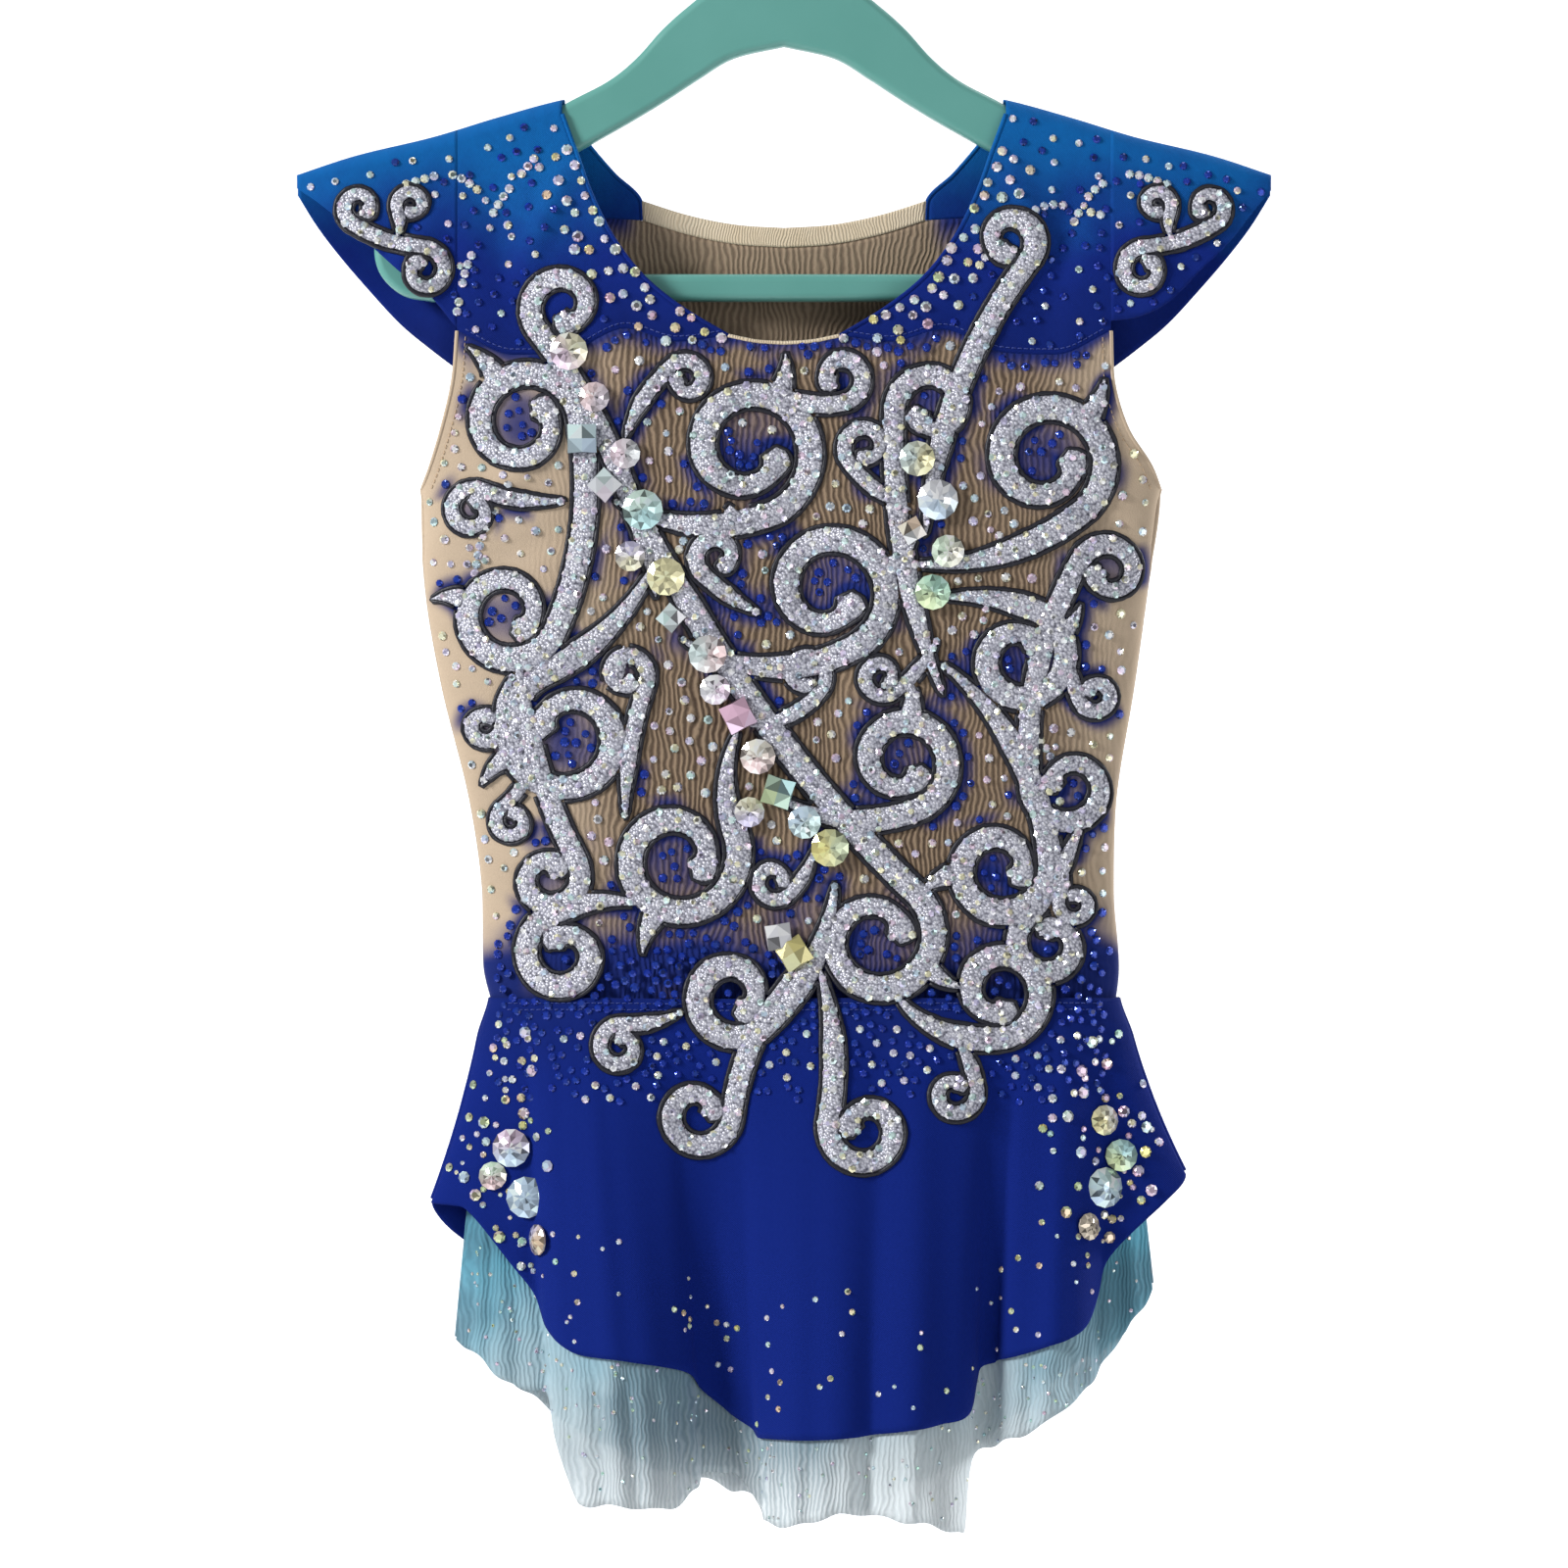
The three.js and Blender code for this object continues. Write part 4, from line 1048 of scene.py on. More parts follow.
def brief(side):
    arc_share = 0.12

    def place(across, up):
        share = across if side < 0 else 1 - across
        z = mix(CROTCH_Z, WAIST_Z, np.maximum(0, up - arc_share) / (1 - arc_share))
        half = read(brief_levels, "z", "half", z)
        x = mix(-half, half, side_spread(share))
        flatness = np.sqrt(1 - np.minimum(1, np.abs(x) / 120.5) ** BLUNT)
        depth = read(brief_levels, "z", "depth", z) * flatness
        turn = np.radians(90) * np.minimum(1, up / arc_share)
        y = np.where(up < arc_share, CROTCH_R * np.sin(turn), depth)
        z = np.where(up < arc_share, CROTCH_Z - CROTCH_R * np.cos(turn), z)
        return BRIEF_X + x, side * np.maximum(SEAM / 2, y), z

    return place


for side, face in FACES:
    piece = cloth(f"brief_{face}_cloth", brief(side), (48, 60), skirt_cloth, "blue_jersey")
    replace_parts(piece, f"brief_{face}")

# %% [markdown]
# ## Finding the cloth under a stone
#
# Scrolls and stones are planned flat, as x and z on the front, and then laid on whatever
# cloth is outermost there. `front_spot` gives that point and the way the surface faces,
# from the slope of the depth. `body_spot` does the same for one body panel alone.


# %% The outermost cloth of the front
STEP_HIGH, STEP_SPARE = 18, 4


def skirt_depth(x, z):
    low, high = np.zeros(np.shape(x)), np.ones(np.shape(x))
    for _ in range(22):
        middle = (low + high) / 2
        is_left = skirt_point(-1, middle, z, 1)[0] < x
        low, high = np.where(is_left, middle, low), np.where(is_left, high, middle)
    return -skirt_point(-1, low, z, 1)[1] - ruffle(-1, "over", low, z)


def front_depth(x, z):
    climb = smooth((SKIRT_TOP_Z + STEP_HIGH - z) / (STEP_HIGH - STEP_SPARE))
    body = body_depth(x, np.maximum(z, WAIST_Z))
    depth = mix(body, skirt_depth(x, np.minimum(z, SKIRT_TOP_Z)) + NET + SEAM, climb)
    down = read(shoulder_ridge, "x", "z", np.abs(x)) - z
    cap = np.where(x < 0, *(sleeve_depth(np.abs(x), down, -1, hand) for hand in (-1, 1)))
    is_sleeve = (np.abs(x) > ARMHOLE_X) & (z > -196)
    return np.where(is_sleeve, cap, depth)


def spot_on(depth, side, x, z, out):
    """Points that lie out from the outer face of a panel, and the way it faces there."""
    x, z = np.asarray(x, float), np.asarray(z, float)
    slope_x = depth(x + 0.5, z) - depth(x - 0.5, z)
    slope_z = depth(x, z + 0.5) - depth(x, z - 0.5)
    normal = unit(np.stack([-slope_x, side + 0 * x, -slope_z], axis=-1))
    point = np.stack([x, side * depth(x, z), z], axis=-1)
    return point + normal * (CLOTH + out + 0 * x)[..., None], normal


def front_spot(x, z, out):
    return spot_on(front_depth, -1, x, z, out)


def body_spot(side, x, z, out):
    return spot_on(lambda x, z: body_depth(x, z, side), side, x, z, out)


# %% [markdown]
# ## Scrolls
#
# The ornament is the ordinary scroll of ironwork and embroidery: a stem that bows and
# ends in one or two curls. A row gives the two eyes, the size and the turns of each curl
# and the bow of the stem, and `scroll_line` finds where the curls and the stem touch.
# Complex numbers keep that short, since turning a direction is one multiplication.
# The heavy scrolls stand in the model too. The tendrils and thorns between them are thin
# enough to be dressing.

# %% Scroll tables
CURL_EYE = 0.4
SCROLL_COLUMNS = "x1 z1 r1 t1 x2 z2 r2 t2 bend wide"
front_scrolls = table(
    SCROLL_COLUMNS,
    (-86, -186, 14, 0.95, -50, -300, 0, 0, 14, 8.5),
    (-70, -236, 0, 0, 36, -434, 24, -1.15, -12, 10),
    (-102, -232, 22, -1.15, -108, -306, 20, -1.15, 18, 9.5),
    (-66, -262, 0, 0, -14, -242, 27, 1.2, -26, 10),
    (-40, -316, 0, 0, 17, -297, 25, 1.15, -32, 10),
    (88, -160, 11, -0.95, 55, -276, 0, 0, -16, 8.5),
    (58, -226, 15, 1, 62, -338, 0, 0, -12, 8.5),
    (50, -287, 0, 0, 102, -246, 25, 1.2, -22, 10),
    (62, -300, 0, 0, 92, -324, 20, -1.15, 14, 9.5),
    (127, -290, 12, 1, 112, -374, 16, 1.05, -18, 8.5),
    (-50, -286, 0, 0, -84, -354, 26, 1.2, 20, 10),
    (-104, -322, 0, 0, -92, -410, 13, -1.05, -12, 8.5),
    (-18, -352, 0, 0, -42, -402, 25, -1.2, -24, 10),
    (-2, -378, 0, 0, 46, -364, 20, 1.15, -28, 9.5),
    (62, -326, 0, 0, 84, -406, 20, -1.15, 24, 9.5),
    (116, -388, 0, 0, 104, -436, 14, 1, 12, 8.5),
    (-56, -420, 0, 0, -86, -440, 16, 1.1, -22, 9),
    (20, -412, 0, 0, -20, -456, 17, -1.1, 22, 9.5),
    (44, -456, 0, 0, 84, -454, 18, 1.1, -34, 9.5),
    (14, -446, 0, 0, 32, -508, 15, 1.1, 14, 8.5),
    (4, -446, 0, 0, -34, -502, 14, -1.05, -16, 8.5),
    (22, -214, 10, -0.9, -6, -216, 0, 0, 30, 7),
    (-10, -306, 0, 0, -26, -284, 9, -0.9, 10, 6.5),
    (-62, -386, 0, 0, -62, -330, 9, 1, 10, 6.5),
)
tendrils = table(
    SCROLL_COLUMNS,
    (-86, -262, 0, 0, -122, -266, 9, 1.1, 14, 6),
    (-106, -330, 0, 0, -117, -350, 7, -1, -14, 6),
    (-98, -366, 0, 0, -106, -388, 7, 1, 12, 5.5),
    (-38, -215, 8, 1, -62, -238, 0, 0, -16, 6),
    (50, -266, 0, 0, 32, -241, 9, -1, 16, 6),
    (-14, -350, 0, 0, 8, -330, 9, 1, -26, 6),
    (60, -316, 0, 0, 38, -331, 8, -1.1, 14, 5.5),
    (112, -322, 0, 0, 122, -338, 7, 1, -12, 6),
    (110, -402, 0, 0, 114, -420, 7, 1, 10, 5.5),
    (12, -398, 0, 0, -4, -411, 8, -1, 16, 5.5),
    (66, -470, 0, 0, 66, -494, 9, -1, 12, 6),
    (-40, -462, 0, 0, -64, -476, 9, 1.1, 16, 6),
)
thorns = table(
    "x z turn long wide",
    (-113, -213, 120, 15, 9),
    (-1, -219, 70, 14, 9),
    (120, -228, 55, 14, 9),
    (41, -288, 30, 14, 8),
    (-109, -363, 215, 13, 8),
    (-51, -425, 240, 15, 9),
    (57, -446, 318, 14, 8),
    (50, -344, 84, 13, 8),
    (-127, -300, 170, 9, 7),
    (109, -314, 45, 13, 8),
    (64, -409, 200, 12, 8),
    (-20, -268, 232, 12, 8),
    (-66, -330, 60, 11, 7),
)
sleeve_scrolls = table(
    SCROLL_COLUMNS,
    (166, -147, 7, -0.9, 141, -172, 9, 1, 16, 6),
    (152, -160, 0, 0, 146, -146, 6, 1, 20, 5),
)


def scroll_line(x1, z1, r1, t1, x2, z2, r2, t2, bend):
    """The middle line of one scroll, as complex numbers x + iz."""
    first, second, bow = complex(x1, z1), complex(x2, z2), math.radians(bend)

    def rim(eye, radius, turns, heading):
        return eye + cmath.rect(radius, heading - np.sign(turns) * math.pi / 2)

    def curl(eye, radius, turns, heading):
        share = np.linspace(0, 1, 60, endpoint=False)
        angle = heading - np.sign(turns) * math.pi / 2 + (1 - share) * turns * 2 * math.pi
        return eye + radius * mix(CURL_EYE, 1, share) * np.exp(1j * angle)

    chord = cmath.phase(second - first)
    for _ in range(6):
        leave = rim(first, r1, t1, chord + bow)
        arrive = rim(second, r2, t2, chord - bow)
        chord = cmath.phase(arrive - leave)
    handle = abs(arrive - leave) / (3 * math.cos(bow / 2) ** 2)
    out, back = leave + cmath.rect(handle, chord + bow), arrive - cmath.rect(handle, chord - bow)
    t = np.linspace(0, 1, 80)
    stem = leave * (1 - t) ** 3 + 3 * out * t * (1 - t) ** 2
    stem = stem + 3 * back * t**2 * (1 - t) + arrive * t**3
    parts = [curl(first, r1, -t1, chord + bow + math.pi)] if r1 else []
    parts.append(stem)
    if r2:
        parts.append(curl(second, r2, t2, chord - bow)[::-1])
    return np.concatenate(parts)


def evenly(line, step):
    """The same line with points one step apart, and each point's distance along it."""
    lengths = np.append(0, np.cumsum(np.abs(np.diff(line))))
    at = np.linspace(0, lengths[-1], max(4, round(lengths[-1] / step)) + 1)
    return np.interp(at, lengths, line.real) + 1j * np.interp(at, lengths, line.imag), at


# %% Strokes of the ornament
class Stroke:
    """A line on the cloth, the way it runs and its half width at each point."""

    def __init__(self, line, at, half, curls=()):
        self.line, self.at, self.half, self.curls = line, at, half, curls
        self.ahead = np.gradient(line) / np.abs(np.gradient(line))


def scroll(row, hand=1):
    *shape, wide = row
    line, at = evenly(scroll_line(*shape), 1.5)
    total, width = at[-1], np.ones(len(at))
    for radius, reach in ((row[2], at), (row[6], total - at)):
        taper = mix(0.62 if radius else 0.22, 1, np.minimum(1, reach / (0.22 * total)))
        width = np.minimum(width, taper)
    for radius, reach in ((row[2], at), (row[6], total - at)):
        if radius:
            width = width + 0.46 * np.exp(-(((reach - 0.5 * wide) / (0.42 * wide)) ** 2))
        rounded = np.clip(reach / (0.45 * wide), 0, 1)
        width = width * (np.sqrt(1 - (1 - rounded) ** 2) * 0.94 + 0.06)
    curls = [(complex(hand * row[k], row[k + 1]), row[k + 2]) for k in (0, 4) if row[k + 2]]
    return Stroke(line if hand > 0 else -line.conjugate(), at, width * wide / 2, curls)


def thorn(x, z, turn, long, wide):
    at = np.linspace(-3, long, 14)
    bent = np.exp(1j * np.radians(turn + 28 * np.maximum(0, at) / long))
    steps = np.append(0, np.cumsum(0.5 * (bent[1:] + bent[:-1]) * np.diff(at)))
    line = complex(x, z) + steps - steps[2]
    return Stroke(line, at + 3, wide / 2 * np.maximum(0.06, 1 - np.maximum(0, at) / long) ** 0.8)


def rows_of(rows):
    return list(zip(*rows.values()))


scrolls = [scroll(row) for row in rows_of(front_scrolls)]
fine_strokes = [scroll(row) for row in rows_of(tendrils)] + [thorn(*row) for row in rows_of(thorns)]
strokes = scrolls + fine_strokes
caps = {hand: [scroll(row, hand) for row in rows_of(sleeve_scrolls)] for hand in (-1, 1)}
print("strokes:", len(strokes), "length:", round(sum(s.at[-1] for s in strokes)), "mm")

# %% [markdown]
# ## How far a place is from the scrolls
#
# Much of the dressing depends on one question: how far is this place from the edge of
# the nearest scroll? The answer is the smallest of all distances to the middle lines,
# less the half width there. It is worked out for many places at once.


# %% Distance to the scrolls
def edge_gap(spots, members):
    """The distance to the nearest edge of the strokes, below zero inside one."""
    spots = np.atleast_1d(spots)
    line = np.concatenate([s.line for s in members])
    half = np.concatenate([s.half for s in members])
    blocks = np.array_split(spots, max(1, len(spots) // 1500))
    return np.concatenate([(np.abs(b[:, None] - line) - half).min(axis=1) for b in blocks])


def cloud(spots, pitch, layer):
    """Soft noise from -1 to 1 with patches about one pitch wide."""
    return np.array([noise.noise((p.real / pitch, p.imag / pitch, layer)) for p in spots])


print("gap at the navel:", round(float(edge_gap(-400j, strokes)[0]), 1), "mm")

# %% [markdown]
# ## Spray in the curls
#
# Before the stones go on, the mesh is sprayed navy inside the curls and along one side of
# each stem, and the spray thickens towards the skirt and the yokes. The back is sprayed at
# its waist and below its yokes only. The spray is a number for each point of a panel,
# stored on the mesh.


# %% Spray attribute
def front_top_edge(x):
    yoke_z = read(front_yoke_edge, "x", "z", np.abs(x))
    return np.where(np.abs(x) > NECK_FOOT, yoke_z, -199)


def spray_at(spots):
    patchy = 0.72 + 0.6 * cloud(spots, 16, 3.0)
    amount = np.zeros(len(spots))
    for member in strokes:
        for eye, radius in member.curls:
            reach = np.abs(spots - eye) / radius
            amount = np.maximum(amount, (1 - smooth((reach - 0.3) / 0.65)) * patchy)
    gap = edge_gap(spots, strokes)
    beside = smooth((cloud(spots, 26, 9.0) + 0.02) / 0.22) * (1 - smooth((gap - 1.5) / 6))
    waist = smooth((FRONT_SPRAY_Z - spots.imag + 22 * cloud(spots, 18, 1.0)) / 30)
    ragged = 9 + 8 * cloud(spots.real + 0j, 12, 5.0)
    below_yoke = 1 - smooth((front_top_edge(spots.real) - spots.imag) / ragged)
    return np.clip(np.maximum.reduce([0.95 * amount, beside, waist, below_yoke]), 0, 1)


def back_spray_at(spots):
    waist = smooth((BACK_SPRAY_Z - spots.imag + 22 * cloud(spots, 18, 4.0)) / 30)
    top = read(back_yoke_edge, "x", "z", np.maximum(np.abs(spots.real), BAND_HALF + 6))
    ragged = 12 + 9 * cloud(spots.real + 0j, 14, 6.0)
    below_yoke = 1 - smooth((top - spots.imag) / ragged)
    at_yoke = smooth((np.abs(spots.real) - BAND_HALF) / 8)
    return np.clip(np.maximum(waist, below_yoke * at_yoke), 0, 1)


for panel, rule in ((front_body, spray_at), (back_body, back_spray_at)):
    values = rule(np.array([complex(v.co.x, v.co.z) / MM for v in panel.data.vertices]))
    spray = panel.data.attributes.new("spray", "FLOAT", "POINT")
    spray.data.foreach_set("value", values)
    print(panel.name, "sprayed share:", round(float(np.mean(values)), 2))

# %% [markdown]
# ## Ribbons of the scrolls
#
# Each scroll is first a low domed ribbon of glue and glitter, which the stones are
# pressed into. Its silver grains carry painted shade, dark in the gaps between them. Its
# section is a flat bottom under a half round, swept along the scroll's line and laid on
# the cloth.


# %% Ribbon finish and pieces
def ribbon_paste():
    finish = Finish("silver_paste", Roughness=0.4, Metallic=0.3)
    *_, whole = finish.place()
    sockets = {"Vector": whole, "Scale": 900.0}
    grains_and_gap_shade = finish.node("ShaderNodeTexVoronoi", {"feature": "F1"}, sockets)
    # Painted shade: each grain is light in its middle and dark in the gaps round it, where the bump
    # makes hollows.
    stops = [(0.0, (0.9, 0.9, 0.94, 1)), (0.5, (0.5, 0.5, 0.58, 1)), (1.0, (0.05, 0.05, 0.08, 1))]
    finish.feed("Base Color", finish.node("ShaderNodeValToRGB", {"stops": stops}, {0: grains_and_gap_shade}))
    finish.bump(1 - grains_and_gap_shade, 0.0006, 1.0)
    return finish.material


RIBBON_HIGH, RIBBON_GAP = 1.3, 0.15
SECTION = [(-1, 0), (-0.86, 0.5), (-0.5, 0.88), (0, 1), (0.5, 0.88), (0.86, 0.5), (1, 0)]
paste = ribbon_paste()


def swept_faces(rings, sides, base=0):
    """The faces of a closed section carried along a line, with a cap at each end."""
    faces, last = [], base + (rings - 1) * sides
    for start in range(base, last, sides):
        for j in range(sides):
            a, b = start + j, start + (j + 1) % sides
            faces.append((a, b, b + sides, a + sides))
    return [*faces, tuple(range(base + sides - 1, base - 1, -1)), tuple(range(last, last + sides))]


def ribbons(name, members):
    spots, lifts, faces, base = [], [], [], 0
    for order, member in enumerate(members):
        side = np.array([across for across, _ in SECTION]) * member.half[:, None]
        spots.append((member.line[:, None] - 1j * member.ahead[:, None] * side).ravel())
        high = RIBBON_HIGH + 0.12 * (order % 3)
        lifts.append(np.tile([RIBBON_GAP + up * high for _, up in SECTION], len(member.line)))
        faces += swept_faces(len(member.line), len(SECTION), base)
        base += len(member.line) * len(SECTION)
    spots = np.concatenate(spots)
    points, _ = front_spot(spots.real, spots.imag, np.concatenate(lifts))
    return add_piece(name, points, faces, paste, "stones")


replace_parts(ribbons("scrolls_front", scrolls), "applique_front")
ribbons("tendrils_front", fine_strokes)
for hand, name in HANDS:
    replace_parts(ribbons(f"scrolls_sleeve_{name}", caps[hand]), f"applique_sleeve_{name}")

# %% [markdown]
# ## Black outline
#
# Each scroll is drawn round with a black line of fabric paint, about two millimetres
# wide. It follows the edge of the ribbon and stops where another scroll is joined on, so
# points that lie inside another ribbon are left out and the line falls into runs.


# %% Outline
OUTLINE_OFF, OUTLINE_R = 0.7, 0.9


def tube(spots, normals, radius, sides=6):
    ahead = unit(np.gradient(spots, axis=0))
    beside = unit(np.cross(ahead, normals))
    up = np.cross(beside, ahead)
    turns = np.linspace(0, 2 * np.pi, sides, endpoint=False)
    rings = [spots + radius[:, None] * (math.cos(t) * beside + math.sin(t) * up) for t in turns]
    return np.stack(rings, axis=1).reshape(-1, 3), swept_faces(len(spots), sides)


def join_parts(parts):
    points, faces, base = [], [], 0
    for part_points, part_faces in parts:
        points.extend(part_points.tolist())
        faces += [tuple(base + k for k in face) for face in part_faces]
        base = len(points)
    return points, faces


def outline_runs(member, others):
    """The two edges and the end caps as one closed loop, cut where it meets others."""
    off = 1j * member.ahead * (member.half + OUTLINE_OFF)
    left, right = member.line + off, member.line - off
    start, end = -member.ahead[0] * 0.6, member.ahead[-1] * 0.6
    round_end = [left[-1] + end, right[-1] + end]
    round_start = [right[0] + start, left[0] + start]
    loop, _ = evenly(np.concatenate([left, round_end, right[::-1], round_start]), 1.6)
    is_free = edge_gap(loop, others) > 0.3
    cuts = np.flatnonzero(np.diff(is_free.astype(int))) + 1
    runs = np.split(loop, cuts)[0 if is_free[0] else 1 :: 2]
    return [run for run in runs if len(run) > 3]


def paint_black():
    finish = Finish("black_paint", Roughness=0.5, Base_Color=(0.008, 0.008, 0.016, 1))
    *_, whole = finish.place()
    finish.bump(finish.clouds(whole, 700.0, 3.0), 0.0004, 0.8)
    return finish.material


outline_paint = paint_black()


def outlines(name, members):
    runs = []
    for index, member in enumerate(members):
        runs += outline_runs(member, members[:index] + members[index + 1 :])
    line = np.concatenate(runs)
    points, normals = front_spot(line.real, line.imag, np.full(len(line), 0.1))
    radius = OUTLINE_R + 0.3 * cloud(line, 2.5, 2.0)
    parts, base = [], 0
    for run in runs:
        of_run = slice(base, base + len(run))
        parts.append(tube(points[of_run], normals[of_run], radius[of_run]))
        base += len(run)
    return add_piece(name, *join_parts(parts), outline_paint, "stones")


outlines("outline_front", strokes)
for hand, name in HANDS:
    outlines(f"outline_sleeve_{name}", caps[hand])

# %% [markdown]
# ## Cut stones
#
# A flat-backed crystal is a low cut cone with a table on top, and a foil behind it throws
# the light back, so each facet looks lighter, darker or tinted by itself. Real glass at
# this size would only be noise, so each facet gets its own colour, kept on the mesh, as a
# painted reflection. A rainbow coat drifts from one tint to another round the stone, and
# painted glints make single facets flash or go dark.


# %% Cuts and the stone finish
def cut(sides, rings, tip=None):
    """A stone of radius 1 on the plane z = 0. A ring is (radius, height, half a turn on)."""
    points, faces = [], [tuple(reversed(range(sides)))]
    for radius, high, turned in rings:
        angles = (np.arange(sides) + turned / 2) * 2 * np.pi / sides
        points += [(radius * np.cos(a), radius * np.sin(a), high) for a in angles]
    for low in range(len(rings) - 1):
        turn = rings[low + 1][2] - rings[low][2]
        for j in range(sides):
            k = (j + 1) % sides
            a, b, c, d = (sides * (low + up) + n for up, n in ((0, j), (0, k), (1, k), (1, j)))
            whole, one_way, other_way = [(a, b, c, d)], [(a, b, d), (b, c, d)], [(a, b, c), (a, c, d)]
            faces += {0: whole, 1: one_way, -1: other_way}[turn]
    top = sides * (len(rings) - 1)
    if tip is None:
        faces.append(tuple(range(top, top + sides)))
    else:
        points.append((0, 0, tip))
        faces += [(top + j, top + (j + 1) % sides, top + sides) for j in range(sides)]
    return np.array(points), faces


CUTS = {
    "grain": cut(6, [(0.96, 0, 0), (1, 0.16, 0), (0.5, 0.55, 0)]),
    "chaton": cut(8, [(0.96, 0, 0), (1, 0.16, 0), (0.52, 0.6, 1)]),
    "rivoli": cut(12, [(0.97, 0, 0), (1, 0.14, 0), (0.64, 0.34, 1), (0.3, 0.47, 0)], 0.52),
    "square": cut(4, [(0.97, 0, 0), (1, 0.14, 0), (0.66, 0.36, 1)], 0.46),
}
COATS = np.array(
    [(1, 1, 1), (0.78, 0.72, 1), (1, 0.74, 0.9), (0.72, 1, 0.9), (1, 0.94, 0.55), (0.64, 0.84, 1)]
)


def stone_glass():
    finish = Finish("foiled_glass", Roughness=0.1, Metallic=0.45, Specular_IOR_Level=0.8)
    facet = finish.node("ShaderNodeAttribute", {"attribute_name": "facet"}, {}, out=0)
    finish.feed("Base Color", facet)
    return finish.material


glass = stone_glass()
chance = np.random.default_rng(11)


def facet_colours(shape, faces, count, tint, play):
    """One colour of painted reflection for each facet of each stone. play is how far it leaves the
    tint.
    """
    middles = np.array([shape[list(face)].mean(axis=0) for face in faces])
    angle = np.arctan2(middles[:, 1], middles[:, 0])[:, None] + chance.uniform(0, 7, count)
    one, other = COATS[chance.integers(0, len(COATS), (2, count))]
    coat = mix(one, other, (0.5 + 0.5 * np.sin(angle))[..., None])
    # Painted glints: each facet is lighter or darker at random, and a few go dark.
    painted_glint = chance.uniform(1 - 0.55 * play, 1 + 0.4 * play, angle.shape)
    painted_glint *= np.where(chance.uniform(size=angle.shape) < 0.14 * play, 0.3, 1)
    return np.clip(np.asarray(tint) * mix(1, coat, play) * painted_glint[..., None], 0, 1)


class Tray:
    """Collects stones of several cuts and builds them as one piece."""

    def __init__(self):
        self.points, self.faces, self.colours = [], [], []
        self.base = self.count = 0

    def add(self, kind, spots, normals, radii, tint, play=0.5, turns=None):
        count = len(spots)
        if not count:
            return
        shape, shape_faces = CUTS[kind]
        turns = chance.uniform(0, 2 * np.pi, count) if turns is None else turns
        first = unit(np.cross(normals, (0.0, 0.0, 1.0)))
        second = np.cross(normals, first)
        cos, sin = np.cos(turns)[:, None], np.sin(turns)[:, None]
        axes = np.stack([cos * first + sin * second, cos * second - sin * first, normals], axis=1)
        sized = axes * np.broadcast_to(radii, count)[:, None, None]
        self.points.append((np.asarray(spots)[:, None] + shape @ sized).reshape(-1, 3))
        starts = self.base + np.arange(count) * len(shape)
        colours = facet_colours(shape, shape_faces, count, tint, play)
        for face, colour in zip(shape_faces, colours):
            self.faces += (starts[:, None] + np.array(face)).tolist()
            self.colours.append(np.repeat(colour, len(face), axis=0))
        self.base += count * len(shape)
        self.count += count

    def lay(self, kind, spots, radii, tint, play=0.8, out=-0.15, is_front=True):
        """Stones laid at flat places on the front, or on the back of the body."""
        x, z = np.real(spots), np.imag(spots)
        place, normal = front_spot(x, z, out) if is_front else body_spot(1, x, z, out)
        self.add(kind, place, normal, radii, tint, play)

    def build(self, name):
        points = np.concatenate(self.points)
        piece = add_piece(name, points, self.faces, glass, "stones", is_smooth=False)
        colours = np.concatenate(self.colours)
        facet = piece.data.color_attributes.new("facet", "FLOAT_COLOR", "CORNER")
        facet.data.foreach_set("color", np.append(colours, np.ones((len(colours), 1)), 1).ravel())
        print(f"{name}: {self.count} stones, {len(self.faces)} facets")
        return piece


CRYSTAL, CREAM = (0.96, 0.96, 1.0), (0.95, 0.91, 0.78)
ROSE, LEMON, MINT = (0.92, 0.74, 0.82), (0.9, 0.84, 0.5), (0.7, 0.88, 0.78)
BLUE_STONE = (0.015, 0.05, 0.42)

# %% [markdown]
# ## No two stones in one place
#
# Stones are set one by one and never overlap. A small grid of cells remembers where each
# one went, so a new one only has to look at its neighbours.


# %% Keeping stones apart
class Places:
    """Takes a spot if nothing nearer than the two radii was taken before."""

    def __init__(self, cell=6.0):
        self.cell = cell
        self.taken = {}

    def take(self, spot, radius, room=0.0):
        column, row = int(spot.real // self.cell), int(spot.imag // self.cell)
        for i in range(column - 2, column + 3):
            for j in range(row - 2, row + 3):
                for other, size in self.taken.get((i, j), ()):
                    if abs(other - spot) < radius + size + room:
                        return False
        self.taken.setdefault((column, row), []).append((spot, radius))
        return True

    def keep(self, spots, radius, room=0.0):
        return np.array([p for p in spots if self.take(p, radius, room)], complex)


places = Places()
large_stones = table(
    "x z r sides",
    (-84, -204, 7.5, 8),
    (-74, -222, 6, 8),
    (-79, -238, 8, 4),
    (-62, -244, 6, 8),
    (-70, -256, 7, 4),
    (-55, -266, 8, 8),
    (-60, -284, 6, 8),
    (-46, -292, 7.5, 8),
    (-44, -308, 6, 4),
    (-30, -322, 7.5, 8),
    (-27, -336, 6, 8),
    (-18, -346, 8, 4),
    (-10, -362, 7, 8),
    (-2, -376, 8, 4),
    (8, -388, 6.5, 8),
    (18, -398, 7.5, 8),
    (-14, -384, 6, 8),
    (52, -246, 7, 8),
    (60, -262, 8, 8),
    (50, -274, 6, 4),
    (64, -282, 6.5, 8),
    (58, -298, 7, 8),
    (-2, -433, 7, 4),
    (4, -440, 8, 4),
)
large_tints = [CRYSTAL, CREAM, CRYSTAL, ROSE, CREAM, MINT, CRYSTAL, LEMON]
large = Tray()
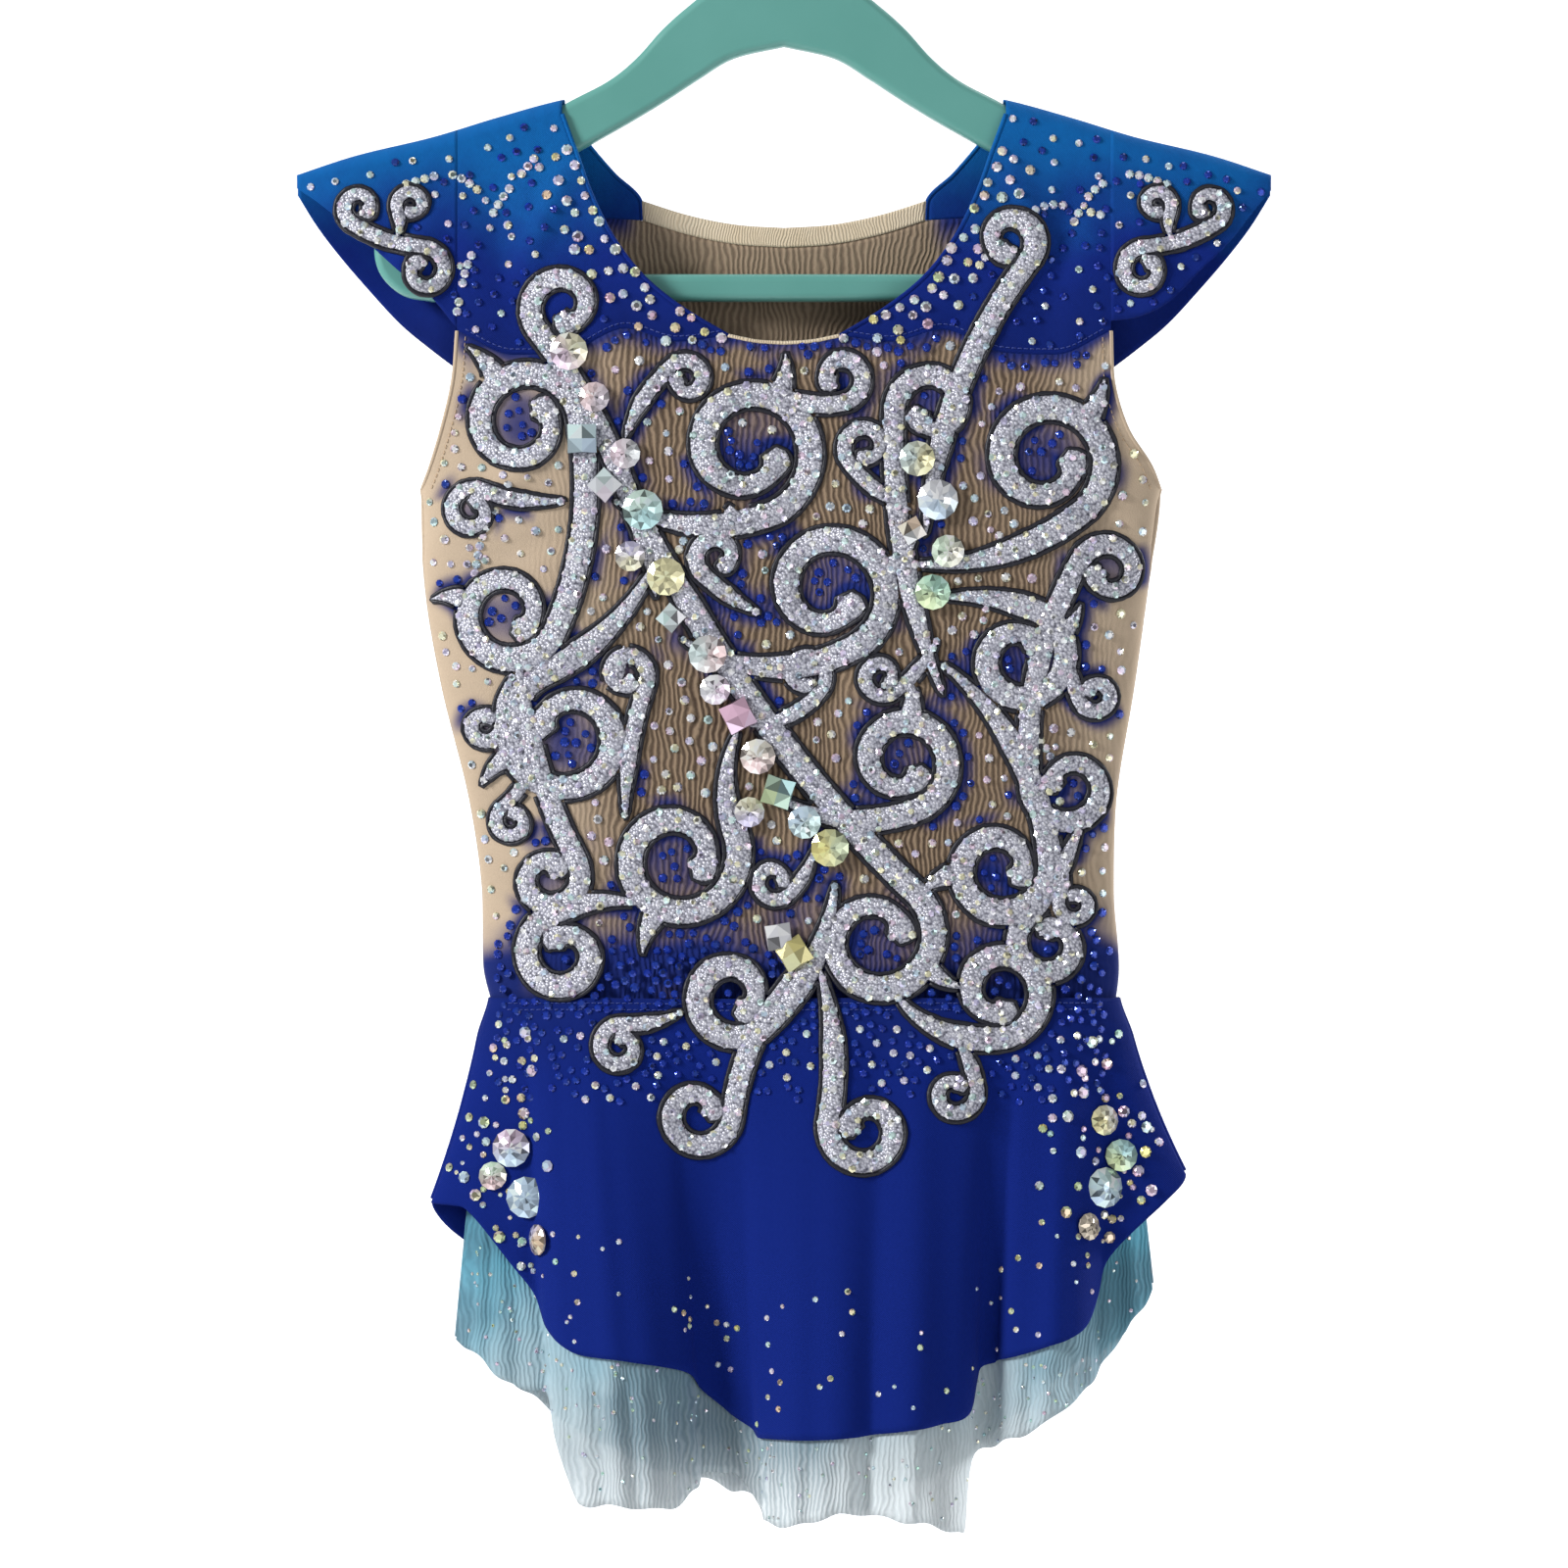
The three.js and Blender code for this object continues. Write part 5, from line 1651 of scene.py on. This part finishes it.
for order, (x, z, r, sides) in enumerate(rows_of(large_stones)):
    places.take(complex(x, z), 0.85 * r)
    spot, normal = front_spot(np.array([x]), np.array([z]), np.array([1.9]))
    kind = "square" if sides == 4 else "rivoli"
    turn = np.array([0.4 * order])
    large.add(kind, spot, normal, r, large_tints[order % 8], 0.8, turns=turn)
large.build("large_stones")

# %% [markdown]
# ## Stones on the ribbons
#
# Three staggered rows of small crystals cover a wide ribbon, two a narrow one. The rows
# are placed by the distance along the line, with a little unevenness of the hand, and a
# stone that would touch one already set is left out.

# %% Crystals on the scrolls
GRAIN_R = 1.62


def across_ribbon(member, position, row):
    """The places of one row of stones across a ribbon, each with its height."""

    def at(values):
        return np.interp(position, member.at, values)

    half = at(member.half)
    reach = half - 0.9 * GRAIN_R
    count = max(1, round(2 * reach / (2.05 * GRAIN_R)) + 1) if reach > 0.3 else 1
    offsets = np.linspace(-reach, reach, count) if count > 1 else np.zeros(1)
    heading = cmath.rect(1, at(np.unwrap(np.angle(member.ahead))))
    shift = 0.5 * GRAIN_R * (-1) ** row if count > 1 else 0
    middle = complex(at(member.line.real), at(member.line.imag)) + heading * shift
    domed = np.sqrt(1 - 0.75 * np.minimum(1, (offsets / half) ** 2))
    return middle + 1j * heading * offsets, RIBBON_GAP + (RIBBON_HIGH + 0.1) * domed


def scroll_stones(name, members, taken):
    kept = []
    for member in members:
        for row, position in enumerate(np.arange(1, member.at[-1] - 0.8, 2 * GRAIN_R)):
            for spot, lift in zip(*across_ribbon(member, position, row)):
                spot += complex(*chance.normal(0, 0.16, 2))
                radius = GRAIN_R * chance.uniform(0.84, 1.12)
                if taken.take(spot, radius, -0.3):
                    kept.append((spot, radius, lift))
    spots, sizes, lifts = (np.array(values) for values in zip(*kept))
    place, normal = front_spot(spots.real, spots.imag, lifts.real - 0.35)
    normal = unit(normal + chance.normal(0, 0.2, normal.shape))
    tray = Tray()
    tray.add("grain", place, normal, sizes.real, CRYSTAL, 0.85)
    return tray.build(name)


scroll_stones("stones_on_scrolls", strokes, places)
for hand, name in HANDS:
    scroll_stones(f"stones_on_sleeve_{name}", caps[hand], Places())

# %% [markdown]
# ## Scattered stones
#
# Between the scrolls lie two kinds. Royal blue ones fill the curls and follow the sprayed
# edges, and clear ones with a rainbow coat are strewn over the bare mesh. Random spots
# are tried one after the other and kept where their kind belongs.

# %% Stones on the front
scattered = Tray()


def random_spots(count, left, right, low, high):
    return chance.uniform(left, right, count) + 1j * chance.uniform(low, high, count)


def on_front(spots, margin=3.0):
    left, right = (read(side_edges, "z", name, spots.imag) for name in ("left", "right"))
    within = (spots.real > left + margin) & (spots.real < right - margin)
    return within & (spots.imag < front_top_edge(spots.real) - 2)


spots = random_spots(16000, -142, 146, -464, -196)
spots = spots[on_front(spots) & (edge_gap(spots, strokes) > 3.2)]
is_blue = spray_at(spots) > chance.uniform(0.3, 0.95, len(spots))
blue_spots = places.keep(spots[is_blue], 1.7, 0.3)
clear_spots = places.keep(spots[~is_blue & (spots.imag > -440)], 1.7, 2.9)
scattered.lay("chaton", blue_spots, chance.uniform(1.45, 1.95, len(blue_spots)), BLUE_STONE, 0.5)
scattered.lay("chaton", clear_spots, chance.uniform(1.4, 2, len(clear_spots)), CRYSTAL, 0.9)
print("blue:", len(blue_spots), "clear:", len(clear_spots))


# %% Stones on yokes and sleeves
def strung(points, pitch, hand=1):
    """Even spots along a smooth line through a few points."""
    xs, zs = np.array(points, float).T
    dense = along(hand * xs, zs)(np.linspace(0, 1, 200))
    return evenly(dense[0] + 1j * dense[1], pitch)[0]


neck_points = list(zip(front_neck["x"], front_neck["z"]))[:-1]
neck_tints = np.array([CRYSTAL, LEMON, ROSE, CREAM, CRYSTAL])
for hand in (-1, 1):
    for inset, pitch in ((3.5, 6.2), (10.5, 7.4), (17, 13)):
        line = strung([(x + inset * 0.85, z - inset * 0.45) for x, z in neck_points], pitch, hand)
        line = line + chance.normal(0, 1, len(line)) + 1j * chance.normal(0, 1, len(line))
        spots = places.keep(line[edge_gap(line, strokes) > 2], 1.9)
        tints = neck_tints[np.arange(len(spots)) % 5]
        scattered.lay("chaton", spots, chance.uniform(1.7, 2.3, len(spots)), tints, 0.8)


def on_yoke(spots):
    away, z = np.abs(spots.real), spots.imag
    ridge = read(shoulder_ridge, "x", "z", away)
    low = read(front_yoke_edge, "x", "z", away)
    edges = [read(sleeve_stations, "x", name, away) for name in ("frontRight", "frontLeft")]
    low = np.where(away > ARMHOLE_X, np.where(spots.real < 0, *edges), low)
    high = np.where(away < 87, read(front_neck, "x", "z", away) - 4, ridge - 5)
    return (away > 24) & (away < 188) & (z > low + 3) & (z < high)


spots = random_spots(2600, -188, 188, -206, -108)
clear_of = np.minimum(edge_gap(spots, strokes), edge_gap(spots, caps[-1] + caps[1]))
spots = spots[on_yoke(spots) & (clear_of > 3)]
scattered.lay("chaton", places.keep(spots[::4], 1.5, 6), 1.5, CRYSTAL, 0.9)
scattered.lay("chaton", places.keep(spots, 1.6, 2.4), 1.6, BLUE_STONE)

# %% Bead lines and waist stones
bead_lines = [
    [(-98, -128), (-112, -146), (-124, -170), (-128, -188)],
    [(72, -176), (88, -156), (106, -146), (124, -150)],
    [(-148, -138), (-132, -134), (-118, -142), (-108, -154)],
    [(150, -138), (136, -134), (122, -140), (112, -156)],
    [(-108, -256), (-118, -276), (-122, -298)],
    [(84, -276), (76, -292), (80, -308)],
    [(-30, -262), (-38, -276), (-44, -288)],
    [(96, -350), (104, -362), (108, -380)],
]
for points in bead_lines:
    scattered.lay("chaton", places.keep(strung(points, 3.8), 1.7, -0.2), 1.8, CRYSTAL)
spots = random_spots(4200, -112, 126, -500, -458)
is_dense = chance.uniform(size=len(spots)) > (SKIRT_TOP_Z - spots.imag) / 42
spots = spots[is_dense & (edge_gap(spots, strokes) > 3)]
scattered.lay("chaton", places.keep(spots[::5], 1.6, 3), 1.6, CRYSTAL)
scattered.lay("chaton", places.keep(spots, 1.6, 0.4), 1.6, BLUE_STONE, 0.6)
scattered.build("scattered_stones")

# %% Stones on the back
back_stones = Tray()
back_places = Places()
spots = random_spots(3400, -108, 120, -461, -418)
is_dense = chance.uniform(size=len(spots)) > (spots.imag + 461) / 40
back_blue = back_places.keep(spots[is_dense], 1.6, 0.8)
back_stones.lay("chaton", back_blue, 1.6, BLUE_STONE, 0.6, is_front=False)
spots = random_spots(700, -122, 122, -205, -116)
low = read(back_yoke_edge, "x", "z", np.abs(spots.real))
high = read(back_neck, "x", "z", np.minimum(np.abs(spots.real), 86)) - 4
spots = spots[(spots.imag > low + 3) & (spots.imag < high) & (np.abs(spots.real) > BAND_HALF + 3)]
for share, radius, tint in ((3, 1.6, CRYSTAL), (1, 1.5, BLUE_STONE)):
    kept = back_places.keep(spots[::share], radius, 3)
    back_stones.lay("chaton", kept, radius, tint, is_front=False)
back_stones.build("back_stones")

# %% [markdown]
# ## Stones on the skirts
#
# The two side points of the over-skirt carry clusters round a few large stones, and small
# clear and yellow ones are strewn towards its hem. The net has only specks. On a skirt a
# place is given by its share of the width and its height, because the folds turn away
# from the plane of the front.


# %% Spots on a skirt
WALL_OUT = {"over": NET + SEAM + CLOTH, "under": NET}


def skirt_spot(side, layer, share, z, out):
    share, z = np.asarray(share, float), np.asarray(z, float)

    def at(share, z):
        return np.stack(layer_point(side, layer, share, z), axis=-1)

    across = at(share + 0.002, z) - at(share - 0.002, z)
    down = at(share, z + 0.5) - at(share, z - 0.5)
    normal = unit(np.cross(across, down)) * -side
    return at(share, z) + normal * (WALL_OUT[layer] + out), normal


def share_at(side, x, z):
    """The share of the over-skirt's width that lies at x on this level."""
    shares = np.linspace(0, 1, 400)
    return float(np.interp(x, skirt_point(side, shares, z + 0 * shares, 1)[0], shares))


skirt_stones = Tray()
skirt_taken = Places()
clusters = table(
    "x z r",
    (-106, -515.5, 7.6),
    (-113.5, -526.5, 5.6),
    (-100, -534.7, 8.2),
    (-93.5, -551, 6.2),
    (124, -504.7, 6),
    (131.7, -518.5, 6.4),
    (124, -531, 8),
    (117, -546, 5.4),
)
for order, (x, z, r) in enumerate(rows_of(clusters)):
    skirt_taken.take(complex(x, z), r)
    spot, normal = skirt_spot(-1, "over", [share_at(-1, x, z)], [z], 0.3)
    skirt_stones.add("rivoli", spot, normal, r, large_tints[order], 0.9)

cluster_tints = (CRYSTAL, CRYSTAL, LEMON, ROSE, MINT)
for middle_x, middle_z in ((-112, -520), (128, -516)):
    for _ in range(130):
        x, z = chance.normal((middle_x, middle_z), (11, 21))
        radius = chance.choice((1.3, 1.8, 2.4))
        share = share_at(-1, x, z)
        is_on = 0.012 < share < 0.988 and z > read(folds[-1], "share", "over", share) + 3
        if is_on and skirt_taken.take(complex(x, z), radius, 0.3):
            spot, normal = skirt_spot(-1, "over", [share], [z], -0.2)
            tint = cluster_tints[chance.integers(0, 5)]
            skirt_stones.add("chaton", spot, normal, radius, tint, 0.9)


def strew_skirt(side, layer, count, low_share, kinds):
    """kinds are (tint, radius) pairs, and low_share keeps the spots near the hem."""
    shares = chance.uniform(0.02, 0.98, count)
    hem = read(folds[side], "share", layer, shares)
    top = SKIRT_TOP_Z if layer == "over" else read(folds[side], "share", "over", shares)
    heights = mix(hem, top, 0.03 + chance.uniform(0, low_share, count))
    picks = chance.integers(0, len(kinds), count)
    for pick, (tint, radius) in enumerate(kinds):
        chosen = picks == pick
        spots, normals = skirt_spot(side, layer, shares[chosen], heights[chosen], -0.35)
        skirt_stones.add("chaton", spots, normals, radius, tint, 0.9)


bright = [(CRYSTAL, 1.2), (LEMON, 1.3), (CRYSTAL, 0.9)]
strew_skirt(-1, "over", 90, 0.34, bright)
strew_skirt(1, "over", 60, 0.3, bright)
for side, count in ((-1, 190), (1, 120)):
    strew_skirt(side, "under", count, 0.95, [(CRYSTAL, 0.8), (MINT, 0.7)])
skirt_stones.build("skirt_stones")

# %% [markdown]
# ## Seams
#
# A maker joins stretch cloth with a narrow zigzag and turns the edges in. The free edges
# of neck and armholes are rolled, which is a fine tube of the same cloth. A tube also
# closes each side seam, as thick as the space between front and back there. Beside the
# yoke and waist seams runs a row of short stitches.


# %% Rolled edges
def edge_roll(name, lines, radius, finish, slot):
    parts = []
    for side, xs, zs in lines:
        points, normals = body_spot(side, xs, zs, -CLOTH / 2)
        parts.append(tube(points, normals, np.full(len(points), radius), 8))
    return add_piece(name, *join_parts(parts), finish, slot)


steps = np.linspace(0, 1, 70)
neck_rolls, armhole_rolls = [], []
for hand in (-1, 1):
    for side, rows in ((-1, front_neck), (1, back_neck)):
        x, z = along(rows["x"], rows["z"])(steps)
        neck_rolls.append((side, hand * x, z))
    name = "left" if hand < 0 else "right"
    free = side_edges["z"] >= UNDERARM_Z
    for side, foot in ((-1, front_yoke_edge), (1, back_yoke_edge)):
        xs = np.append(side_edges[name][free], hand * ARMHOLE_X)
        x, z = along(xs, np.append(side_edges["z"][free], foot["z"][-1]))(steps)
        armhole_rolls.append((side, x, z))
edge_roll("neck_roll", neck_rolls, 0.85, shoulder_cloth, "blue_jersey")
edge_roll("armhole_roll", armhole_rolls, 0.8, back_mesh, "nude_mesh")
x = np.linspace(-NECK_FOOT, NECK_FOOT, 40)
centre_line = [(-1, x, read(front_neck_centre, "x", "z", np.abs(x)))]
edge_roll("neck_centre_roll", centre_line, 0.8, band_cloth, "golden_band")


# %% Side seams
def edge_at(piece, is_last, z):
    """One upright edge of a sheet, read at the heights z."""
    spots = np.array([v.co for v in piece.data.vertices]) / MM
    edge = spots.reshape(-1, grid_columns[piece.name] + 1, 3)[:, -1 if is_last else 0]
    return np.stack([np.interp(z, edge[:, 2], edge[:, axis]) for axis in range(3)], axis=1)


def side_seams(name, front, back, low, high, finish, slot):
    parts = []
    for hand, low_z in zip((-1, 1), low):
        z = np.linspace(low_z, high, 90)
        one, other = edge_at(front, hand > 0, z), edge_at(back, hand < 0, z)
        radius = np.linalg.norm(one - other, axis=1) / 2 + 0.25
        facing = np.tile((float(hand), 0.0, 0.0), (len(z), 1))
        parts.append(tube((one + other) / 2, facing, np.minimum(radius, 1.3), 8))
        print(f"{name}: radius {radius.min():.2f} to {radius.max():.2f} mm")
    return add_piece(name, *join_parts(parts), finish, slot)


body_seams = side_seams(
    "body_side_seams", front_body, back_body, (WAIST_Z, WAIST_Z), UNDERARM_Z, back_mesh, "nude_mesh"
)
heights = np.array([v.co.z for v in body_seams.data.vertices]) / MM
seam_spray = body_seams.data.attributes.new("spray", "FLOAT", "POINT")
seam_spray.data.foreach_set("value", smooth((BACK_SPRAY_Z - heights) / 26))
skirt_kinds = (("over", "blue_jersey", skirt_cloth), ("under", "sheer_net", net_cloth))
for layer, slot, finish in skirt_kinds:
    front, back = (skirt_pieces[f"skirt_{layer}_{face}"] for face in ("front", "back"))
    hems = [front_folds[layer][0] + 2, front_folds[layer][-1] + 2]
    side_seams(f"skirt_{layer}_side_seams", front, back, hems, SKIRT_TOP_Z, finish, slot)


# %% Stitches
def stitches(name, lines, tint, slot, long=1.5, pitch=2.4, radius=0.17):
    finish = Finish(name, Roughness=0.6, Sheen_Weight=0.3)
    *_, whole = finish.place()
    twist = finish.clouds(whole, 2500.0)
    finish.feed("Base Color", finish.blend(twist * 0.5, (*tint, 1), (*(0.4 * np.array(tint)), 1)))
    parts = []
    for points, normals in lines:
        lengths = np.append(0, np.cumsum(np.linalg.norm(np.diff(points, axis=0), axis=1)))
        for start in np.arange(1, lengths[-1] - long, pitch):
            at = start + np.linspace(0, long, 4)
            middle = np.stack([np.interp(at, lengths, points[:, a]) for a in range(3)], axis=1)
            facing = np.array([np.interp(start, lengths, normals[:, a]) for a in range(3)])
            spots = middle + np.array([0.05, 0.3, 0.3, 0.05])[:, None] * facing
            parts.append(tube(spots, np.tile(facing, (4, 1)), np.full(4, radius), 4))
    return add_piece(name, *join_parts(parts), finish.material, slot)


blue_lines, nude_lines = [], []
for side, foot in ((-1, front_yoke_edge), (1, back_yoke_edge)):
    for hand in (-1, 1):
        x = np.linspace(foot["x"][0] + 2, ARMHOLE_X - 2, 80)
        z = read(foot, "x", "z", x)
        blue_lines.append(body_spot(side, hand * x, z + 2.2, -0.22))
for side, x, z in armhole_rolls:
    hand = np.sign(x[0])
    nude_lines.append(body_spot(side, x - hand * 3.4, z - 1.0, -0.22))
x = np.linspace(-BAND_HALF + 2, BAND_HALF - 2, 90)
for drop in (1.6, BAND_WIDE - 1.4):
    nude_lines.append(body_spot(1, x, read(band_line, "x", "z", np.abs(x)) - drop, 0.1))
for side in (-1, 1):
    x = np.linspace(-108, 124, 160)
    shares = np.array([share_at(side, value, SKIRT_TOP_Z - 3) for value in x])
    for drop in (2.0, 4.6):
        z = np.full(len(x), SKIRT_TOP_Z - drop)
        blue_lines.append(skirt_spot(side, "over", shares, z, -0.25))
blue_thread = stitches("blue_stitches", blue_lines, (0.01, 0.05, 0.4), "blue_jersey")
nude_thread = stitches("nude_stitches", nude_lines, (0.7, 0.5, 0.3), "nude_mesh")
print("stitch faces:", len(blue_thread.data.polygons) + len(nude_thread.data.polygons))

# %% [markdown]
# ## The hanger
#
# It is one moulding of mint green plastic, a flat frame with well rounded edges and a
# round hook. A filled curve with a bevel gives the frame, and a bevelled path the hook.
# Moulded plastic is smooth with a satin skin, slightly uneven, and duller where it has
# rubbed on cloth and rods.

# %% Hanger sizes
HANGER_HALF, HANGER_EDGE, HOOK_R, HOOK_WIRE = 4.5, 3, 17.5, 4
hanger_outside = [
    (0, -55.4),
    (14, -56.2),
    (27, -60),
    (38, -68),
    (48, -77),
    (58, -88.1),
    (69, -97),
    (86, -106),
    (112, -121),
    (138, -136),
    (153, -147),
    (160.5, -159),
    (159, -172),
    (150, -181),
    (138, -183.6),
]
hanger_inside = [
    (0, -83.5),
    (19.6, -88.1),
    (33, -96),
    (46, -104.5),
    (60, -113),
    (75, -121.5),
    (104, -138),
    (130, -152),
    (138, -160),
    (137, -169),
    (128, -172.8),
]


def hanger_plastic():
    finish = Finish("mint_plastic", Roughness=0.34, Coat_Weight=0.25, Coat_Roughness=0.2)
    *_, whole = finish.place()
    uneven = finish.clouds(whole, 22.0, 3.0)
    rubbed = finish.clouds(whole, 140.0, 4.0)
    colour = finish.blend(uneven, (0.10, 0.32, 0.275, 1), (0.14, 0.39, 0.345, 1))
    finish.feed("Base Color", colour)
    finish.feed("Roughness", 0.28 + rubbed * 0.2)
    finish.bump(rubbed, 0.0002, 0.4)
    return finish.material


# %% Hanger frame and hook
def catmull(points, steps=8):
    """A smooth line through points, as the moulding's outline is drawn."""
    padded = [2 * points[0] - points[1], *points, 2 * points[-1] - points[-2]]
    line = []
    for a, b, c, d in zip(padded, padded[1:], padded[2:], padded[3:]):
        for t in np.arange(steps) / steps:
            bend = (2 * a - 5 * b + 4 * c - d) * t**2 + (3 * b - a - 3 * c + d) * t**3
            line.append(0.5 * (2 * b + (c - a) * t + bend))
    return [*line, points[-1]]


def mirrored(half):
    right = catmull([np.array(p, float) for p in half])
    return right + [p * (-1, 1) for p in reversed(right[1:])]


def curve_piece(name, runs, settings, cyclic):
    curve = bpy.data.curves.new(name, "CURVE")
    for setting, value in settings.items():
        setattr(curve, setting, value)
    for run in runs:
        spline = curve.splines.new("POLY")
        spline.points.add(len(run) - 1)
        for point, place in zip(spline.points, run):
            point.co = (*(np.array(place) * MM), 1)
        spline.use_cyclic_u = cyclic
    made = bpy.data.objects.new(name, curve)
    scene.collection.objects.link(made)
    return made


frame_curve = curve_piece(
    "hanger_frame",
    [[(x, z, 0) for x, z in mirrored(half)] for half in (hanger_outside, hanger_inside)],
    {
        "dimensions": "2D",
        "fill_mode": "BOTH",
        "extrude": (HANGER_HALF - HANGER_EDGE) * MM,
        "bevel_depth": HANGER_EDGE * MM,
        "offset": -HANGER_EDGE * MM,
        "bevel_resolution": 5,
    },
    True,
)
frame_curve.rotation_euler = (math.radians(90), 0, 0)

eye_z = HOOK_WIRE - HOOK_R
hook_points = []
for angle in np.radians(np.arange(205, -61, -5)):
    hook_points.append((HOOK_R * math.cos(angle), 0, eye_z + HOOK_R * math.sin(angle)))
hook_points = hook_points[::-1] + [(-14.2, 0, eye_z - 11.4), (-9.4, 0, eye_z - 16.4)]
hook_points += [(-3.6, 0, eye_z - 20.6), (-0.8, 0, eye_z - 24.4), (0, 0, eye_z - 30), (0, 0, -64)]
hook_line = catmull([np.array(p, float) for p in hook_points], 3)
hook_curve = curve_piece(
    "hanger_hook",
    [hook_line],
    {
        "dimensions": "3D",
        "fill_mode": "FULL",
        "bevel_depth": HOOK_WIRE * MM,
        "bevel_resolution": 6,
        "use_fill_caps": True,
    },
    False,
)

bpy.context.view_layer.update()
plastic = hanger_plastic()
shapes = bpy.context.evaluated_depsgraph_get()
hanger_points, hanger_faces = [], []
for part in (frame_curve, hook_curve):
    mesh = bpy.data.meshes.new_from_object(part.evaluated_get(shapes))
    mesh.transform(part.matrix_world)
    base = len(hanger_points)
    hanger_points += [tuple(np.array(v.co) / MM) for v in mesh.vertices]
    hanger_faces += [tuple(base + k for k in face.vertices) for face in mesh.polygons]
    bpy.data.objects.remove(part)
hanger = add_piece("hanger_moulding", hanger_points, hanger_faces, plastic, "hanger_plastic")
hanger.data.set_sharp_from_angle(angle=math.radians(50))
weld = hanger.modifiers.new("weld", "WELD")
weld.merge_threshold = 0.00002
shading = hanger.modifiers.new("even_faces", "WEIGHTED_NORMAL")
shading.keep_sharp = True
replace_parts(hanger, "hanger")
print("hanger faces:", len(hanger.data.polygons))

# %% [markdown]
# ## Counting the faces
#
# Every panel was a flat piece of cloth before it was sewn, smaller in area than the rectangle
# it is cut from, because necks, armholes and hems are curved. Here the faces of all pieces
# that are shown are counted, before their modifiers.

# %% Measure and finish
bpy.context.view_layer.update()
faces = sum(len(o.data.polygons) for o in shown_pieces() if o.type == "MESH")
print("faces before modifiers:", faces)
